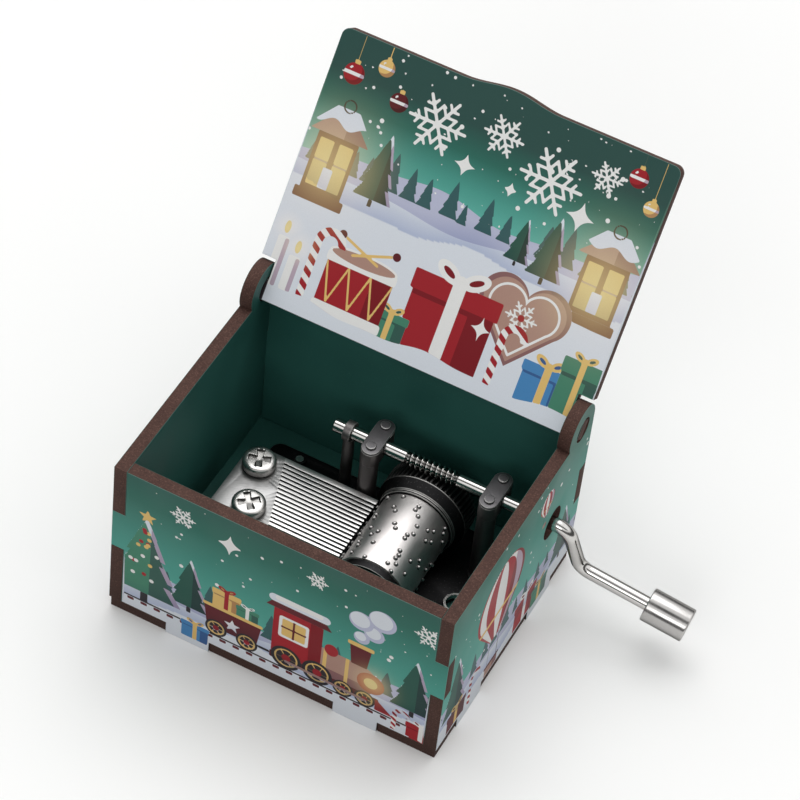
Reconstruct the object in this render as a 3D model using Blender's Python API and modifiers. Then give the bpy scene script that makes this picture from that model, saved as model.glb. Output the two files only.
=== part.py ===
"""Hand-cranked music box in a small finger-jointed board box with a hinged lid.

Metres, +Z up. The origin is the middle of the box's underside, +X points to the crank and +Y to the
lid's hinge. The lid stands open, the crank hangs just behind straight down.
"""

import math

import bmesh
import bpy
from mathutils import Matrix, Vector

MM = 0.001

# Box of thin board
BOX_WIDTH = 64.0 * MM
BOX_DEPTH = 52.0 * MM
RIM_HEIGHT = 37.25 * MM
BOARD = 2.5 * MM
SEAM = 0.05 * MM
BASE_SETBACK = 0.3 * MM
CORNER_FINGER_LOW = 16.7 * MM
CORNER_FINGER_HIGH = 25.9 * MM
FRONT_FOOT_INNER = 12.1 * MM
FRONT_FOOT_OUTER = 20.7 * MM
SIDE_FOOT_INNER = 9.0 * MM
SIDE_FOOT_OUTER = 18.0 * MM

# Ears of the side walls, and the holes in them
EAR_RADIUS = 4.8 * MM
EAR_CENTRE_ABOVE_RIM = 1.75 * MM
EAR_STEPS = 26
PIVOT_FROM_BACK = 4.4 * MM
PIVOT_HOLE_RADIUS = 2.45 * MM
CRANK_HOLE_RADIUS = 3.25 * MM
HOLE_STEPS = 32

# Lid
LID_OPEN_ANGLE = math.radians(126.5)
LID_RIM_GAP = 0.1 * MM
LID_OVERHANG = 0.4 * MM
LID_SHOULDER = 5.7 * MM
LID_REAR_REACH = 1.9 * MM
LID_SIDE_GAP = 0.25 * MM
LID_TAB_RECESS = 0.1 * MM
LID_CORNER_RADIUS = 1.5 * MM
LIP_WIDTH = 18.6 * MM
LIP_HEIGHT = 1.1 * MM
LIP_STEPS = 16
CORNER_STEPS = 5

# Movement bedplate, and what holds it to the box
BEDPLATE_LEFT = -24.0 * MM
BEDPLATE_RIGHT = 25.0 * MM
BEDPLATE_FRONT = -12.5 * MM
BEDPLATE_BACK = 19.5 * MM
BEDPLATE_THICKNESS = 0.9 * MM
BEDPLATE_CORNER_RADIUS = 2.0 * MM
SCREW_SPOTS = {"rear_left": (-18.1 * MM, 17.3 * MM), "front_left": (-18.0 * MM, -9.8 * MM),
               "front_right": (21.5 * MM, -9.0 * MM)}
SCREW_RADIUS = 0.75 * MM
SCREW_HEAD_RADIUS = 1.9 * MM
SCREW_HEAD_DEPTH = 1.15 * MM
SCREW_FIT = 0.1 * MM
INSERT_RADIUS = 1.3 * MM
INSERT_HEIGHT = 0.7 * MM
BUSH_SPOT = (20.9 * MM, 2.6 * MM)
BUSH_RADIUS = 2.2 * MM
BUSH_WALL = 0.4 * MM
BUSH_HEIGHT = 0.9 * MM

# Crank shaft, worm and wheel
SHAFT_Y = 13.93 * MM
SHAFT_RADIUS = 1.25 * MM
SHAFT_LEFT_END = -10.5 * MM
RUNNING_FIT = 0.1 * MM
WHEEL_TEETH = 52
WHEEL_PITCH_RADIUS = 8.28 * MM
WHEEL_WIDTH = 4.1 * MM
WORM_CREST_RADIUS = 1.5 * MM
WORM_ROOT_RADIUS = 1.0 * MM
WORM_TURNS = 9
WORM_STEPS = 14
WORM_CREST_SHARE = 0.12
WORM_FOOT_SHARE = 0.28
WORM_ROOTING = 0.2 * MM
WHEEL_TIP_SHARE = 0.13
WHEEL_FOOT_SHARE = 0.25
MESH_CLEARANCE = 0.08 * MM
WHEEL_FLOOR_GAP = 0.27 * MM

# Crank
CRANK_ANGLE = math.radians(10.0)
CRANK_BEND_X = 35.15 * MM
CRANK_THROW = 10.3 * MM
CRANK_SPLAY = 2.5 * MM
CRANK_BEND_RADIUS = 3.15 * MM
BEND_STEPS = 9
HANDLE_LEAN = math.radians(9.0)
HANDLE_BARE_LENGTH = 13.45 * MM
KNOB_LENGTH = 8.0 * MM
KNOB_RADIUS = 3.1 * MM
KNOB_RECESS_RADIUS = 2.5 * MM
KNOB_RECESS_DEPTH = 2.4 * MM
KNOB_CHAMFER = 0.2 * MM
KNOB_STEPS = 32
KNOB_RIVET_RADIUS = 1.9 * MM
KNOB_RIVET_THICKNESS = 0.6 * MM

# Drum
DRUM_X = 8.8 * MM
DRUM_RADIUS = 6.7 * MM
DRUM_WALL = 0.8 * MM
DRUM_FRONT_MARGIN = 0.4 * MM
DRUM_REAR_MARGIN = 0.75 * MM
DRUM_STEPS = 48
PIN_RADIUS = 0.28 * MM
PIN_HEIGHT = 0.45 * MM
PIN_CLEARANCE = 0.15 * MM
PINS_PER_NOTE = 4
FLANGE_RIM_RADIUS = 7.2 * MM
FLANGE_RIM_WIDTH = 0.5 * MM
FLANGE_EDGE = 0.2 * MM
PLUG_DEPTH = 1.0 * MM
PRESS_GAP = 0.05 * MM
END_CAP_THICKNESS = 1.6 * MM
END_CAP_STEP = 0.2 * MM
ARBOR_RADIUS = 0.8 * MM
BRACKET_THICKNESS = 1.2 * MM
BRACKET_WIDTH = 5.6 * MM
BRACKET_END_PLAY = 0.3 * MM

# Comb
NOTES = 18
TOOTH_SLOT = 0.35 * MM
COMB_REAR = 9.0 * MM
COMB_FRONT = -7.8 * MM
COMB_REAR_MARGIN = 0.58 * MM
COMB_FRONT_MARGIN = 0.3 * MM
COMB_LEFT = -23.65 * MM
COMB_TOP_ABOVE_DRUM_AXIS = 1.33 * MM
COMB_THICKNESS = 1.2 * MM
TOOTH_THICKNESS = 0.7 * MM
ROOT_REAR_X = -17.1 * MM
ROOT_SLANT = 0.3254
COMB_BASE_INSET = 0.4 * MM
COMB_SCREW_SPOTS = {"rear": (-20.2 * MM, 5.1 * MM), "front": (-17.1 * MM, -4.3 * MM)}
COMB_SCREW_HEAD_RADIUS = 3.05 * MM
COMB_SCREW_HEAD_HEIGHT = 1.9 * MM
COMB_SCREW_RADIUS = 1.5 * MM
COMB_SCREW_DEPTH = 4.0 * MM
PAN_HEAD_SKIRT = 0.65 * MM
PAN_HEAD_CROWN_START = math.radians(80.0)
PAN_HEAD_CROWN_END = math.radians(25.0)
COMB_SCREW_TURNS = {"rear": math.radians(20.0), "front": math.radians(40.0)}
CROSS_ARM = 1.55 * MM
CROSS_WIDTH = 0.7 * MM
CROSS_DEPTH = 0.9 * MM

# Shaft bearings
PILLAR_X = {"left": -2.05 * MM, "right": 20.95 * MM}
PILLAR_RADIUS = 1.68 * MM
PILLAR_HEAD_RADIUS = 1.75 * MM
RIVET_FROM_SHAFT = 2.7 * MM
PILLAR_HEAD_HEIGHT = 3.1 * MM
PILLAR_TOP_ABOVE_SHAFT = 1.32 * MM
CAP_THICKNESS = 0.5 * MM
RIVET_RADIUS = 0.5 * MM
RIVET_HEAD_RADIUS = 0.95 * MM
RIVET_HEAD_HEIGHT = 0.45 * MM
RIVET_HEAD_EDGE = 0.2 * MM
RIVET_DEPTH = 1.2 * MM
OUTBOARD_X = -7.5 * MM
OUTBOARD_POST_RADIUS = 1.05 * MM
OUTBOARD_EYE_RADIUS = 1.9 * MM
OUTBOARD_EYE_WIDTH = 1.5 * MM

ROUND_STEPS = 24
SMALL_STEPS = 16
FINE_MERGE = 1e-6
WELD_DISTANCE = 1e-7
SHARP_ANGLE = math.radians(35.0)

HALF_WIDTH = BOX_WIDTH / 2
HALF_DEPTH = BOX_DEPTH / 2
PIVOT_Y = HALF_DEPTH - PIVOT_FROM_BACK
PIVOT_Z = RIM_HEIGHT + LID_RIM_GAP + BOARD / 2
BEDPLATE_TOP = BOARD + SEAM + BEDPLATE_THICKNESS
WORM_PITCH = 2 * math.pi * WHEEL_PITCH_RADIUS / WHEEL_TEETH
WORM_PITCH_RADIUS = (WORM_ROOT_RADIUS + WORM_CREST_RADIUS) / 2
WORM_START = DRUM_X - (WORM_TURNS // 2 + 0.5) * WORM_PITCH
WHEEL_TIP_RADIUS = WHEEL_PITCH_RADIUS + WORM_PITCH_RADIUS - WORM_ROOT_RADIUS - MESH_CLEARANCE
WHEEL_ROOT_RADIUS = WHEEL_PITCH_RADIUS + WORM_PITCH_RADIUS - WORM_CREST_RADIUS - MESH_CLEARANCE
DRUM_Z = BEDPLATE_TOP + WHEEL_FLOOR_GAP + WHEEL_TIP_RADIUS
SHAFT_Z = DRUM_Z + WHEEL_PITCH_RADIUS + WORM_PITCH_RADIUS
WHEEL_FRONT = SHAFT_Y - WHEEL_WIDTH / 2
WHEEL_BACK = SHAFT_Y + WHEEL_WIDTH / 2
TOOTH_PITCH = (COMB_REAR - COMB_FRONT - COMB_REAR_MARGIN - COMB_FRONT_MARGIN + TOOTH_SLOT) / NOTES
TOOTH_WIDTH = TOOTH_PITCH - TOOTH_SLOT
FIRST_NOTE_Y = COMB_REAR - COMB_REAR_MARGIN - TOOTH_WIDTH / 2
DRUM_BACK = FIRST_NOTE_Y + DRUM_REAR_MARGIN
DRUM_FRONT = FIRST_NOTE_Y - (NOTES - 1) * TOOTH_PITCH - DRUM_FRONT_MARGIN
COMB_TOP = DRUM_Z + COMB_TOP_ABOVE_DRUM_AXIS
COMB_TIP_X = DRUM_X - DRUM_RADIUS - PIN_HEIGHT - PIN_CLEARANCE
BORE_RADIUS = SHAFT_RADIUS + RUNNING_FIT
PILLAR_TOP = SHAFT_Z + PILLAR_TOP_ABOVE_SHAFT
ALONG_X = (0.0, math.pi / 2, 0.0)
ALONG_Y = (-math.pi / 2, 0.0, 0.0)


def clear_scene():
    """Remove every object that the file opened with."""
    for obj in list(bpy.data.objects):
        bpy.data.objects.remove(obj, do_unlink=True)


def new_collection(name):
    collection = bpy.data.collections.new(name)
    bpy.context.scene.collection.children.link(collection)
    return collection


clear_scene()
PARTS = new_collection("music_box")
CUTTERS = new_collection("cutters")


def finish(name, colour, roughness, metallic=0.0):
    """A plain surface: base colour, roughness and how metallic it is."""
    material = bpy.data.materials.new(name)
    material.use_nodes = True
    shader = material.node_tree.nodes["Principled BSDF"]
    shader.inputs["Base Color"].default_value = (*colour, 1.0)
    shader.inputs["Roughness"].default_value = roughness
    shader.inputs["Metallic"].default_value = metallic
    return material


def place(name, data, material, location=(0, 0, 0), rotation=(0, 0, 0), parent=None):
    """Put mesh or curve data in the scene as a named part with its material."""
    obj = bpy.data.objects.new(name, data)
    obj.location = location
    obj.rotation_euler = rotation
    obj.parent = parent
    data.materials.append(material)
    PARTS.objects.link(obj)
    return obj


def hide_as_cutter(obj):
    """Move an object to the cutters, out of the render."""
    PARTS.objects.unlink(obj)
    CUTTERS.objects.link(obj)
    obj.hide_render = True
    obj.display_type = "WIRE"
    return obj


def boolean(obj, other, operation):
    modifier = obj.modifiers.new(operation.lower() + "_" + other.name, "BOOLEAN")
    modifier.operation = operation
    modifier.object = other


def cut(obj, cutter):
    boolean(obj, hide_as_cutter(cutter), "DIFFERENCE")


def join(obj, other):
    boolean(obj, hide_as_cutter(other), "UNION")


def axis_empty(name, location, rotation=(0, 0, 0), parent=None):
    """An empty on a joint's axis, which carries the pieces that turn about it."""
    empty = bpy.data.objects.new(name, None)
    empty.location = location
    empty.rotation_euler = rotation
    empty.parent = parent
    PARTS.objects.link(empty)
    return empty


def circle(centre, radius, steps):
    """Points round a circle in a plane."""
    return [(centre[0] + radius * math.cos(2 * math.pi * i / steps),
             centre[1] + radius * math.sin(2 * math.pi * i / steps)) for i in range(steps)]


def arc(centre, radius, start, end, steps):
    """Points along an arc from one angle to another, both ends included."""
    return [(centre[0] + radius * math.cos(start + (end - start) * i / steps),
             centre[1] + radius * math.sin(start + (end - start) * i / steps)) for i in range(steps + 1)]


def rounded_rectangle(low, high, radius):
    """Points round a rectangle with round corners."""
    left, front, right, back = low[0] + radius, low[1] + radius, high[0] - radius, high[1] - radius
    points = []
    for quarter, centre in enumerate(((right, back), (left, back), (left, front), (right, front))):
        points += arc(centre, radius, quarter * math.pi / 2, (quarter + 1) * math.pi / 2, CORNER_STEPS)
    return points


def flat_piece(name, loops, thickness, material, location, rotation=(0, 0, 0), parent=None):
    """A flat outline with any holes, cut from sheet: its middle plane is the object's own XY plane."""
    curve = bpy.data.curves.new(name, "CURVE")
    curve.dimensions = "2D"
    curve.fill_mode = "BOTH"
    curve.extrude = thickness / 2
    for loop in loops:
        spline = curve.splines.new("POLY")
        spline.points.add(len(loop) - 1)
        spline.use_cyclic_u = True
        for point, (x, y) in zip(spline.points, loop):
            point.co = (x, y, 0.0, 1.0)
    return place(name, curve, material, location, rotation, parent)


def plate(name, outline, thickness, material, location, rotation=(0, 0, 0), parent=None):
    """A flat piece without holes that gets cut or joined: one face, thickened both ways."""
    sheet = bmesh.new()
    sheet.faces.new([sheet.verts.new((x, y, 0)) for x, y in outline])
    mesh = bpy.data.meshes.new(name)
    sheet.to_mesh(mesh)
    sheet.free()
    obj = place(name, mesh, material, location, rotation, parent)
    solidify = obj.modifiers.new("thickness", "SOLIDIFY")
    solidify.thickness = thickness
    solidify.offset = 0
    return obj


def made_mesh(obj):
    """Replace an object by a closed mesh of what its settings make, with the same name and place."""
    bpy.context.view_layer.update()
    name, world, material, parent = obj.name, obj.matrix_world.copy(), obj.data.materials[0], obj.parent
    mesh = bpy.data.meshes.new_from_object(obj.evaluated_get(bpy.context.evaluated_depsgraph_get()))
    bpy.data.objects.remove(obj, do_unlink=True)
    body = bmesh.new()
    body.from_mesh(mesh)
    bmesh.ops.remove_doubles(body, verts=body.verts, dist=WELD_DISTANCE)
    bmesh.ops.holes_fill(body, edges=[edge for edge in body.edges if edge.is_boundary], sides=4)
    bmesh.ops.recalc_face_normals(body, faces=body.faces)
    body.to_mesh(mesh)
    body.free()
    mesh.materials.clear()
    solid = place(name, mesh, material, parent=parent)
    solid.matrix_world = world
    return solid


def turned(name, profile, material, location, rotation=(0, 0, 0), parent=None, steps=ROUND_STEPS, ring=False):
    """A turned piece about its own Z axis. The profile is (radius, height), and runs down the outer side.

    A ring's profile is a closed loop. Any other starts and ends on the axis.
    """
    mesh = bpy.data.meshes.new(name)
    edges = [(i, i + 1) for i in range(len(profile) - 1)]
    if ring:
        edges.append((len(profile) - 1, 0))
    mesh.from_pydata([(radius, 0.0, height) for radius, height in profile], edges, [])
    obj = place(name, mesh, material, location, rotation, parent)
    screw = obj.modifiers.new("turn", "SCREW")
    screw.steps = steps
    screw.render_steps = steps
    screw.use_merge_vertices = True
    screw.merge_threshold = FINE_MERGE
    screw.use_smooth_shade = True
    return obj


def tube_profile(inner, outer, low, high):
    """Closed profile of a plain ring, down its outer side."""
    return [(outer, high), (outer, low), (inner, low), (inner, high)]


def rod_profile(radius, low, high):
    """Profile of a plain rod, down its outer side."""
    return [(0.0, high), (radius, high), (radius, low), (0.0, low)]


def wall_outline(reach, finger_reach, foot_inner, foot_outer, slack):
    """Outline of a wall, seen flat, with corner fingers at each side and two feet between the base's tabs.

    reach is the half length beside the fingers and finger_reach the half length between them. slack is
    kept clear where this wall meets another.
    """
    bottom = BOARD + SEAM
    half = [(foot_inner + slack, bottom), (foot_inner + slack, 0.0), (foot_outer - slack, 0.0),
            (foot_outer - slack, bottom), (reach, bottom), (reach, CORNER_FINGER_LOW + slack),
            (finger_reach, CORNER_FINGER_LOW + slack), (finger_reach, CORNER_FINGER_HIGH - slack),
            (reach, CORNER_FINGER_HIGH - slack), (reach, RIM_HEIGHT)]
    return half, [(-x, z) for x, z in reversed(half)]


def make_front_and_back(board):
    """Front and back walls: they run between the side walls and reach through them with one finger."""
    inner_reach = HALF_WIDTH - BOARD - SEAM
    right, left = wall_outline(inner_reach, HALF_WIDTH, FRONT_FOOT_INNER, FRONT_FOOT_OUTER, SEAM)
    for name, side in (("front_panel", -1), ("back_panel", 1)):
        flat_piece(name, [right + left], BOARD, board, (0, side * (HALF_DEPTH - BOARD / 2), 0),
                   (math.pi / 2, 0, 0))


def ear_arc():
    """The ear's round outline, from the back edge over the top and down to the rim."""
    centre = (HALF_DEPTH - EAR_RADIUS, RIM_HEIGHT + EAR_CENTRE_ABOVE_RIM)
    drop = math.asin(EAR_CENTRE_ABOVE_RIM / EAR_RADIUS)
    return arc(centre, EAR_RADIUS, 0.0, math.pi + drop, EAR_STEPS)


def make_sides(board):
    """Side walls, each with an ear that the lid's tab turns in. The right one lets the crank through."""
    back, front = wall_outline(HALF_DEPTH, HALF_DEPTH - BOARD, SIDE_FOOT_INNER, SIDE_FOOT_OUTER, 0.0)
    outline = back[:-1] + ear_arc() + front
    pivot = circle((PIVOT_Y, PIVOT_Z), PIVOT_HOLE_RADIUS, HOLE_STEPS)
    crank = circle((SHAFT_Y, SHAFT_Z), CRANK_HOLE_RADIUS, HOLE_STEPS)
    for name, side, holes in (("left_panel", -1, [pivot]), ("right_panel", 1, [pivot, crank])):
        flat_piece(name, [outline] + holes, BOARD, board, (side * (HALF_WIDTH - BOARD / 2), 0, 0),
                   (math.pi / 2, 0, math.pi / 2))


def notched_side(half_length, half_other, foot_inner, foot_outer):
    """One long side of the base, along +X at +Y, with two notches for a wall's feet. From +X to -X."""
    deep = half_other - BOARD - SEAM
    edge = half_other - BASE_SETBACK
    half = [(foot_outer + SEAM, edge), (foot_outer + SEAM, deep), (foot_inner - SEAM, deep),
            (foot_inner - SEAM, edge)]
    corner = (half_length - BASE_SETBACK, edge)
    return [corner] + half + [(-x, y) for x, y in reversed(half)]


def make_base(board):
    """Base board, set in a little from the walls' faces, with notches for their feet and sunk screw holes."""
    back = notched_side(HALF_WIDTH, HALF_DEPTH, FRONT_FOOT_INNER, FRONT_FOOT_OUTER)
    left = [(-y, x) for x, y in notched_side(HALF_DEPTH, HALF_WIDTH, SIDE_FOOT_INNER, SIDE_FOOT_OUTER)]
    half = back + left
    outline = half + [(-x, -y) for x, y in half]
    base = plate("base_panel", outline, BOARD, board, (0, 0, BOARD / 2))
    for spot, (x, y) in SCREW_SPOTS.items():
        shank = SCREW_RADIUS + SCREW_FIT
        head = SCREW_HEAD_RADIUS + SCREW_FIT
        sink = SCREW_HEAD_DEPTH + SCREW_FIT
        profile = [(0, BOARD + SCREW_FIT), (shank, BOARD + SCREW_FIT), (shank, sink), (head, 0.0),
                   (head, -SCREW_FIT), (0, -SCREW_FIT)]
        cut(base, turned("screw_sink_" + spot, profile, board, (x, y, 0), steps=SMALL_STEPS))


def lid_outline():
    """Half of the lid, seen flat and closed: x to the right, y to the back, origin on the hinge axis."""
    front = -(PIVOT_Y + HALF_DEPTH + LID_OVERHANG)
    neck = HALF_WIDTH - BOARD - LID_SIDE_GAP
    lip = []
    for i in range(LIP_STEPS // 2 + 1):
        x = i * LIP_WIDTH / LIP_STEPS
        lip.append((x, front - LIP_HEIGHT * math.cos(math.pi * x / LIP_WIDTH) ** 2))
    corner = arc((HALF_WIDTH - LID_CORNER_RADIUS, front + LID_CORNER_RADIUS), LID_CORNER_RADIUS,
                 -math.pi / 2, 0.0, CORNER_STEPS)
    tab = HALF_WIDTH - LID_TAB_RECESS
    back = [(HALF_WIDTH, -LID_SHOULDER), (neck, -LID_SHOULDER), (neck, -LID_REAR_REACH),
            (tab, -LID_REAR_REACH), (tab, LID_REAR_REACH)]
    return lip + corner + back


def make_lid(board):
    """Lid board: it lies over the walls when shut, and its two rear tabs turn in the ears."""
    half = lid_outline()
    outline = half + [(-x, y) for x, y in reversed(half) if x > 0]
    axis = axis_empty("lid_axis", (0, PIVOT_Y, PIVOT_Z), (-LID_OPEN_ANGLE, 0, 0))
    flat_piece("lid_panel", [outline], BOARD, board, (0, 0, 0), parent=axis)


def make_bedplate(casting):
    """Cast plate that carries the movement, with holes for its screws and for the locating bush."""
    outline = rounded_rectangle((BEDPLATE_LEFT, BEDPLATE_FRONT), (BEDPLATE_RIGHT, BEDPLATE_BACK),
                                BEDPLATE_CORNER_RADIUS)
    holes = [circle(spot, SCREW_RADIUS + SCREW_FIT, SMALL_STEPS) for spot in SCREW_SPOTS.values()]
    holes.append(circle(BUSH_SPOT, BUSH_RADIUS - BUSH_WALL, SMALL_STEPS))
    flat_piece("bedplate", [outline] + holes, BEDPLATE_THICKNESS, casting,
               (0, 0, BEDPLATE_TOP - BEDPLATE_THICKNESS / 2))


def make_bedplate_fasteners(casting, nickel, steel):
    """Sunk screws from below, the inserts that they bite in, and the bright bush beside the drum."""
    floor = BEDPLATE_TOP + SEAM
    for spot, (x, y) in SCREW_SPOTS.items():
        insert = tube_profile(SCREW_RADIUS + PRESS_GAP, INSERT_RADIUS, floor, floor + INSERT_HEIGHT)
        turned("insert_" + spot, insert, casting, (x, y, 0), steps=SMALL_STEPS, ring=True)
        top = floor + INSERT_HEIGHT
        screw = [(0, top), (SCREW_RADIUS, top), (SCREW_RADIUS, SCREW_HEAD_DEPTH),
                 (SCREW_HEAD_RADIUS, SCREW_FIT), (0, SCREW_FIT)]
        turned("base_screw_" + spot, screw, steel, (x, y, 0), steps=SMALL_STEPS)
    bush = tube_profile(BUSH_RADIUS - BUSH_WALL, BUSH_RADIUS, floor, floor + BUSH_HEIGHT)
    turned("locating_bush", bush, nickel, (*BUSH_SPOT, 0), steps=ROUND_STEPS, ring=True)


def root_x(y):
    """Where the comb's teeth start, which slants so that the front teeth are shorter."""
    return ROOT_REAR_X + (COMB_REAR - y) * ROOT_SLANT


def tooth_y(note):
    """Middle of a tooth, counted from the back."""
    return FIRST_NOTE_Y - note * TOOTH_PITCH


def comb_root_outline(inset, tip_gap):
    """The comb's solid back part. Its rear corner follows the rear screw's head."""
    rear, front = COMB_REAR - inset, COMB_FRONT + inset
    left = COMB_LEFT + inset
    radius = COMB_SCREW_HEAD_RADIUS
    corner = arc((left + radius, rear - radius), radius, math.pi / 2, math.pi, CORNER_STEPS)
    return [(root_x(front) - tip_gap, front), (root_x(rear) - tip_gap, rear)] + corner + [(left, front)]


def make_comb(steel):
    """Steel comb: a root plate with two screw holes, and thinner teeth that end just short of the pins."""
    outline = comb_root_outline(0.0, 0.0)[2:]
    for note in reversed(range(NOTES)):
        front = COMB_FRONT if note == NOTES - 1 else tooth_y(note) - TOOTH_WIDTH / 2
        rear = COMB_REAR if note == 0 else tooth_y(note) + TOOTH_WIDTH / 2
        outline += [(root_x(front), front), (COMB_TIP_X, front), (COMB_TIP_X, rear), (root_x(rear), rear)]
    comb = plate("comb", outline, COMB_THICKNESS, steel, (0, 0, COMB_TOP - COMB_THICKNESS / 2))
    for spot, (x, y) in COMB_SCREW_SPOTS.items():
        profile = rod_profile(COMB_SCREW_RADIUS + SCREW_FIT, COMB_TOP - 2 * COMB_THICKNESS,
                              COMB_TOP + COMB_THICKNESS)
        cut(comb, turned("comb_hole_" + spot, profile, steel, (x, y, 0), steps=SMALL_STEPS))
    depth = COMB_THICKNESS - TOOTH_THICKNESS
    ledge = [(root_x(COMB_FRONT - TOOTH_PITCH), COMB_FRONT - TOOTH_PITCH),
             (COMB_TIP_X + TOOTH_PITCH, COMB_FRONT - TOOTH_PITCH),
             (COMB_TIP_X + TOOTH_PITCH, COMB_REAR + TOOTH_PITCH),
             (root_x(COMB_REAR + TOOTH_PITCH), COMB_REAR + TOOTH_PITCH)]
    middle = COMB_TOP - COMB_THICKNESS
    cut(comb, plate("tooth_relief", ledge, 2 * depth, steel, (0, 0, middle)))


def make_comb_base(casting):
    """Block that lifts the comb to the drum's height, with two blind screw holes."""
    low, high = BEDPLATE_TOP + SEAM, COMB_TOP - COMB_THICKNESS - SEAM
    outline = comb_root_outline(COMB_BASE_INSET, 2 * COMB_BASE_INSET)
    block = plate("comb_base", outline, high - low, casting, (0, 0, (low + high) / 2))
    for spot, (x, y) in COMB_SCREW_SPOTS.items():
        depth = COMB_SCREW_DEPTH + SCREW_FIT
        profile = rod_profile(COMB_SCREW_RADIUS + SCREW_FIT, high - depth, high + depth)
        cut(block, turned("comb_tap_" + spot, profile, casting, (x, y, 0), steps=SMALL_STEPS))


def make_comb_screws(nickel):
    """Pan-head screws with a cross recess, which clamp the comb. The crown is a quarter ellipse's middle."""
    seat = COMB_TOP + SEAM
    skirt = seat + PAN_HEAD_SKIRT
    crown = COMB_SCREW_HEAD_HEIGHT - PAN_HEAD_SKIRT
    low = COMB_TOP - COMB_THICKNESS - COMB_SCREW_DEPTH
    for spot, (x, y) in COMB_SCREW_SPOTS.items():
        unit = arc((0, 0), 1.0, PAN_HEAD_CROWN_START, PAN_HEAD_CROWN_END, CORNER_STEPS)
        profile = [(0, skirt + crown)]
        profile += [(COMB_SCREW_HEAD_RADIUS * px, skirt + crown * pz) for px, pz in unit]
        profile += [(COMB_SCREW_HEAD_RADIUS, skirt), (COMB_SCREW_HEAD_RADIUS, seat),
                    (COMB_SCREW_RADIUS, seat), (COMB_SCREW_RADIUS, low), (0, low)]
        screw = turned("comb_screw_" + spot, profile, nickel, (x, y, 0), steps=ROUND_STEPS)
        arm, half = CROSS_ARM, CROSS_WIDTH / 2
        quarter = [(arm, -half), (arm, half), (half, half)]
        cross = []
        for step in range(4):
            c, s = round(math.cos(step * math.pi / 2)), round(math.sin(step * math.pi / 2))
            cross += [(c * px - s * py, s * px + c * py) for px, py in quarter]
        cut(screw, plate("cross_recess_" + spot, cross, 2 * CROSS_DEPTH, nickel, (x, y, skirt + crown),
                         (0, 0, COMB_SCREW_TURNS[spot])))


def oblong(half_length, radius):
    """Outline of a plate with round ends, long in Y."""
    return (arc((0, half_length), radius, 0.0, math.pi, SMALL_STEPS // 2)
            + arc((0, -half_length), radius, math.pi, 2 * math.pi, SMALL_STEPS // 2))


def make_pillar(side, x, casting):
    """Bearing pillar: a round post before the shaft, and a long head with an open groove that it runs in."""
    low = BEDPLATE_TOP + SEAM
    name = "bearing_pillar_" + side
    head = plate(name, oblong(RIVET_FROM_SHAFT, PILLAR_HEAD_RADIUS), PILLAR_HEAD_HEIGHT, casting,
                 (x, SHAFT_Y, PILLAR_TOP - PILLAR_HEAD_HEIGHT / 2))
    post = rod_profile(PILLAR_RADIUS, low, PILLAR_TOP - PILLAR_HEAD_HEIGHT / 2)
    join(head, turned("post_" + side, post, casting, (x, SHAFT_Y - RIVET_FROM_SHAFT, 0), steps=SMALL_STEPS))
    groove = arc((0, 0), BORE_RADIUS, math.pi, 2 * math.pi, SMALL_STEPS // 2)
    groove += [(BORE_RADIUS, PILLAR_HEAD_HEIGHT), (-BORE_RADIUS, PILLAR_HEAD_HEIGHT)]
    cut(head, plate("groove_" + side, groove, 4 * PILLAR_HEAD_RADIUS, casting, (x, SHAFT_Y, SHAFT_Z),
                    (math.pi / 2, 0, math.pi / 2)))
    for end in (-1, 1):
        y = SHAFT_Y + end * RIVET_FROM_SHAFT
        depth = RIVET_DEPTH + SCREW_FIT
        profile = rod_profile(RIVET_RADIUS + PRESS_GAP, PILLAR_TOP - depth, PILLAR_TOP + depth)
        cut(head, turned(f"rivet_hole_{side}_{end}", profile, casting, (x, y, 0), steps=SMALL_STEPS // 2))


def make_cap(side, x, casting):
    """Cap plate over a pillar's groove, held by two rivets."""
    low = PILLAR_TOP + SEAM
    loops = [oblong(RIVET_FROM_SHAFT, PILLAR_HEAD_RADIUS)]
    for end in (-1, 1):
        loops.append(circle((0, end * RIVET_FROM_SHAFT), RIVET_RADIUS + PRESS_GAP, SMALL_STEPS // 2))
    flat_piece("bearing_cap_" + side, loops, CAP_THICKNESS, casting, (x, SHAFT_Y, low + CAP_THICKNESS / 2))
    top = low + CAP_THICKNESS + SEAM
    bottom = PILLAR_TOP - RIVET_DEPTH
    for spot, end in (("front", -1), ("rear", 1)):
        crown = top + RIVET_HEAD_HEIGHT
        profile = [(0, crown), (RIVET_HEAD_RADIUS - RIVET_HEAD_EDGE, crown),
                   (RIVET_HEAD_RADIUS, crown - RIVET_HEAD_EDGE), (RIVET_HEAD_RADIUS, top),
                   (RIVET_RADIUS, top), (RIVET_RADIUS, bottom), (0, bottom)]
        turned(f"cap_rivet_{side}_{spot}", profile, casting, (x, SHAFT_Y + end * RIVET_FROM_SHAFT, 0),
               steps=SMALL_STEPS)


def make_outboard_bearing(casting):
    """Thin post with an eye, which steadies the shaft's free end."""
    low = BEDPLATE_TOP + SEAM
    half = OUTBOARD_EYE_WIDTH / 2
    eye = turned("outboard_bearing", tube_profile(BORE_RADIUS, OUTBOARD_EYE_RADIUS, -half, half), casting,
                 (OUTBOARD_X, SHAFT_Y, SHAFT_Z), ALONG_X, ring=True)
    high = SHAFT_Z - (BORE_RADIUS + OUTBOARD_EYE_RADIUS) / 2
    post = rod_profile(OUTBOARD_POST_RADIUS, low, high)
    join(eye, turned("outboard_post", post, casting, (OUTBOARD_X, SHAFT_Y, 0), steps=SMALL_STEPS))


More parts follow.
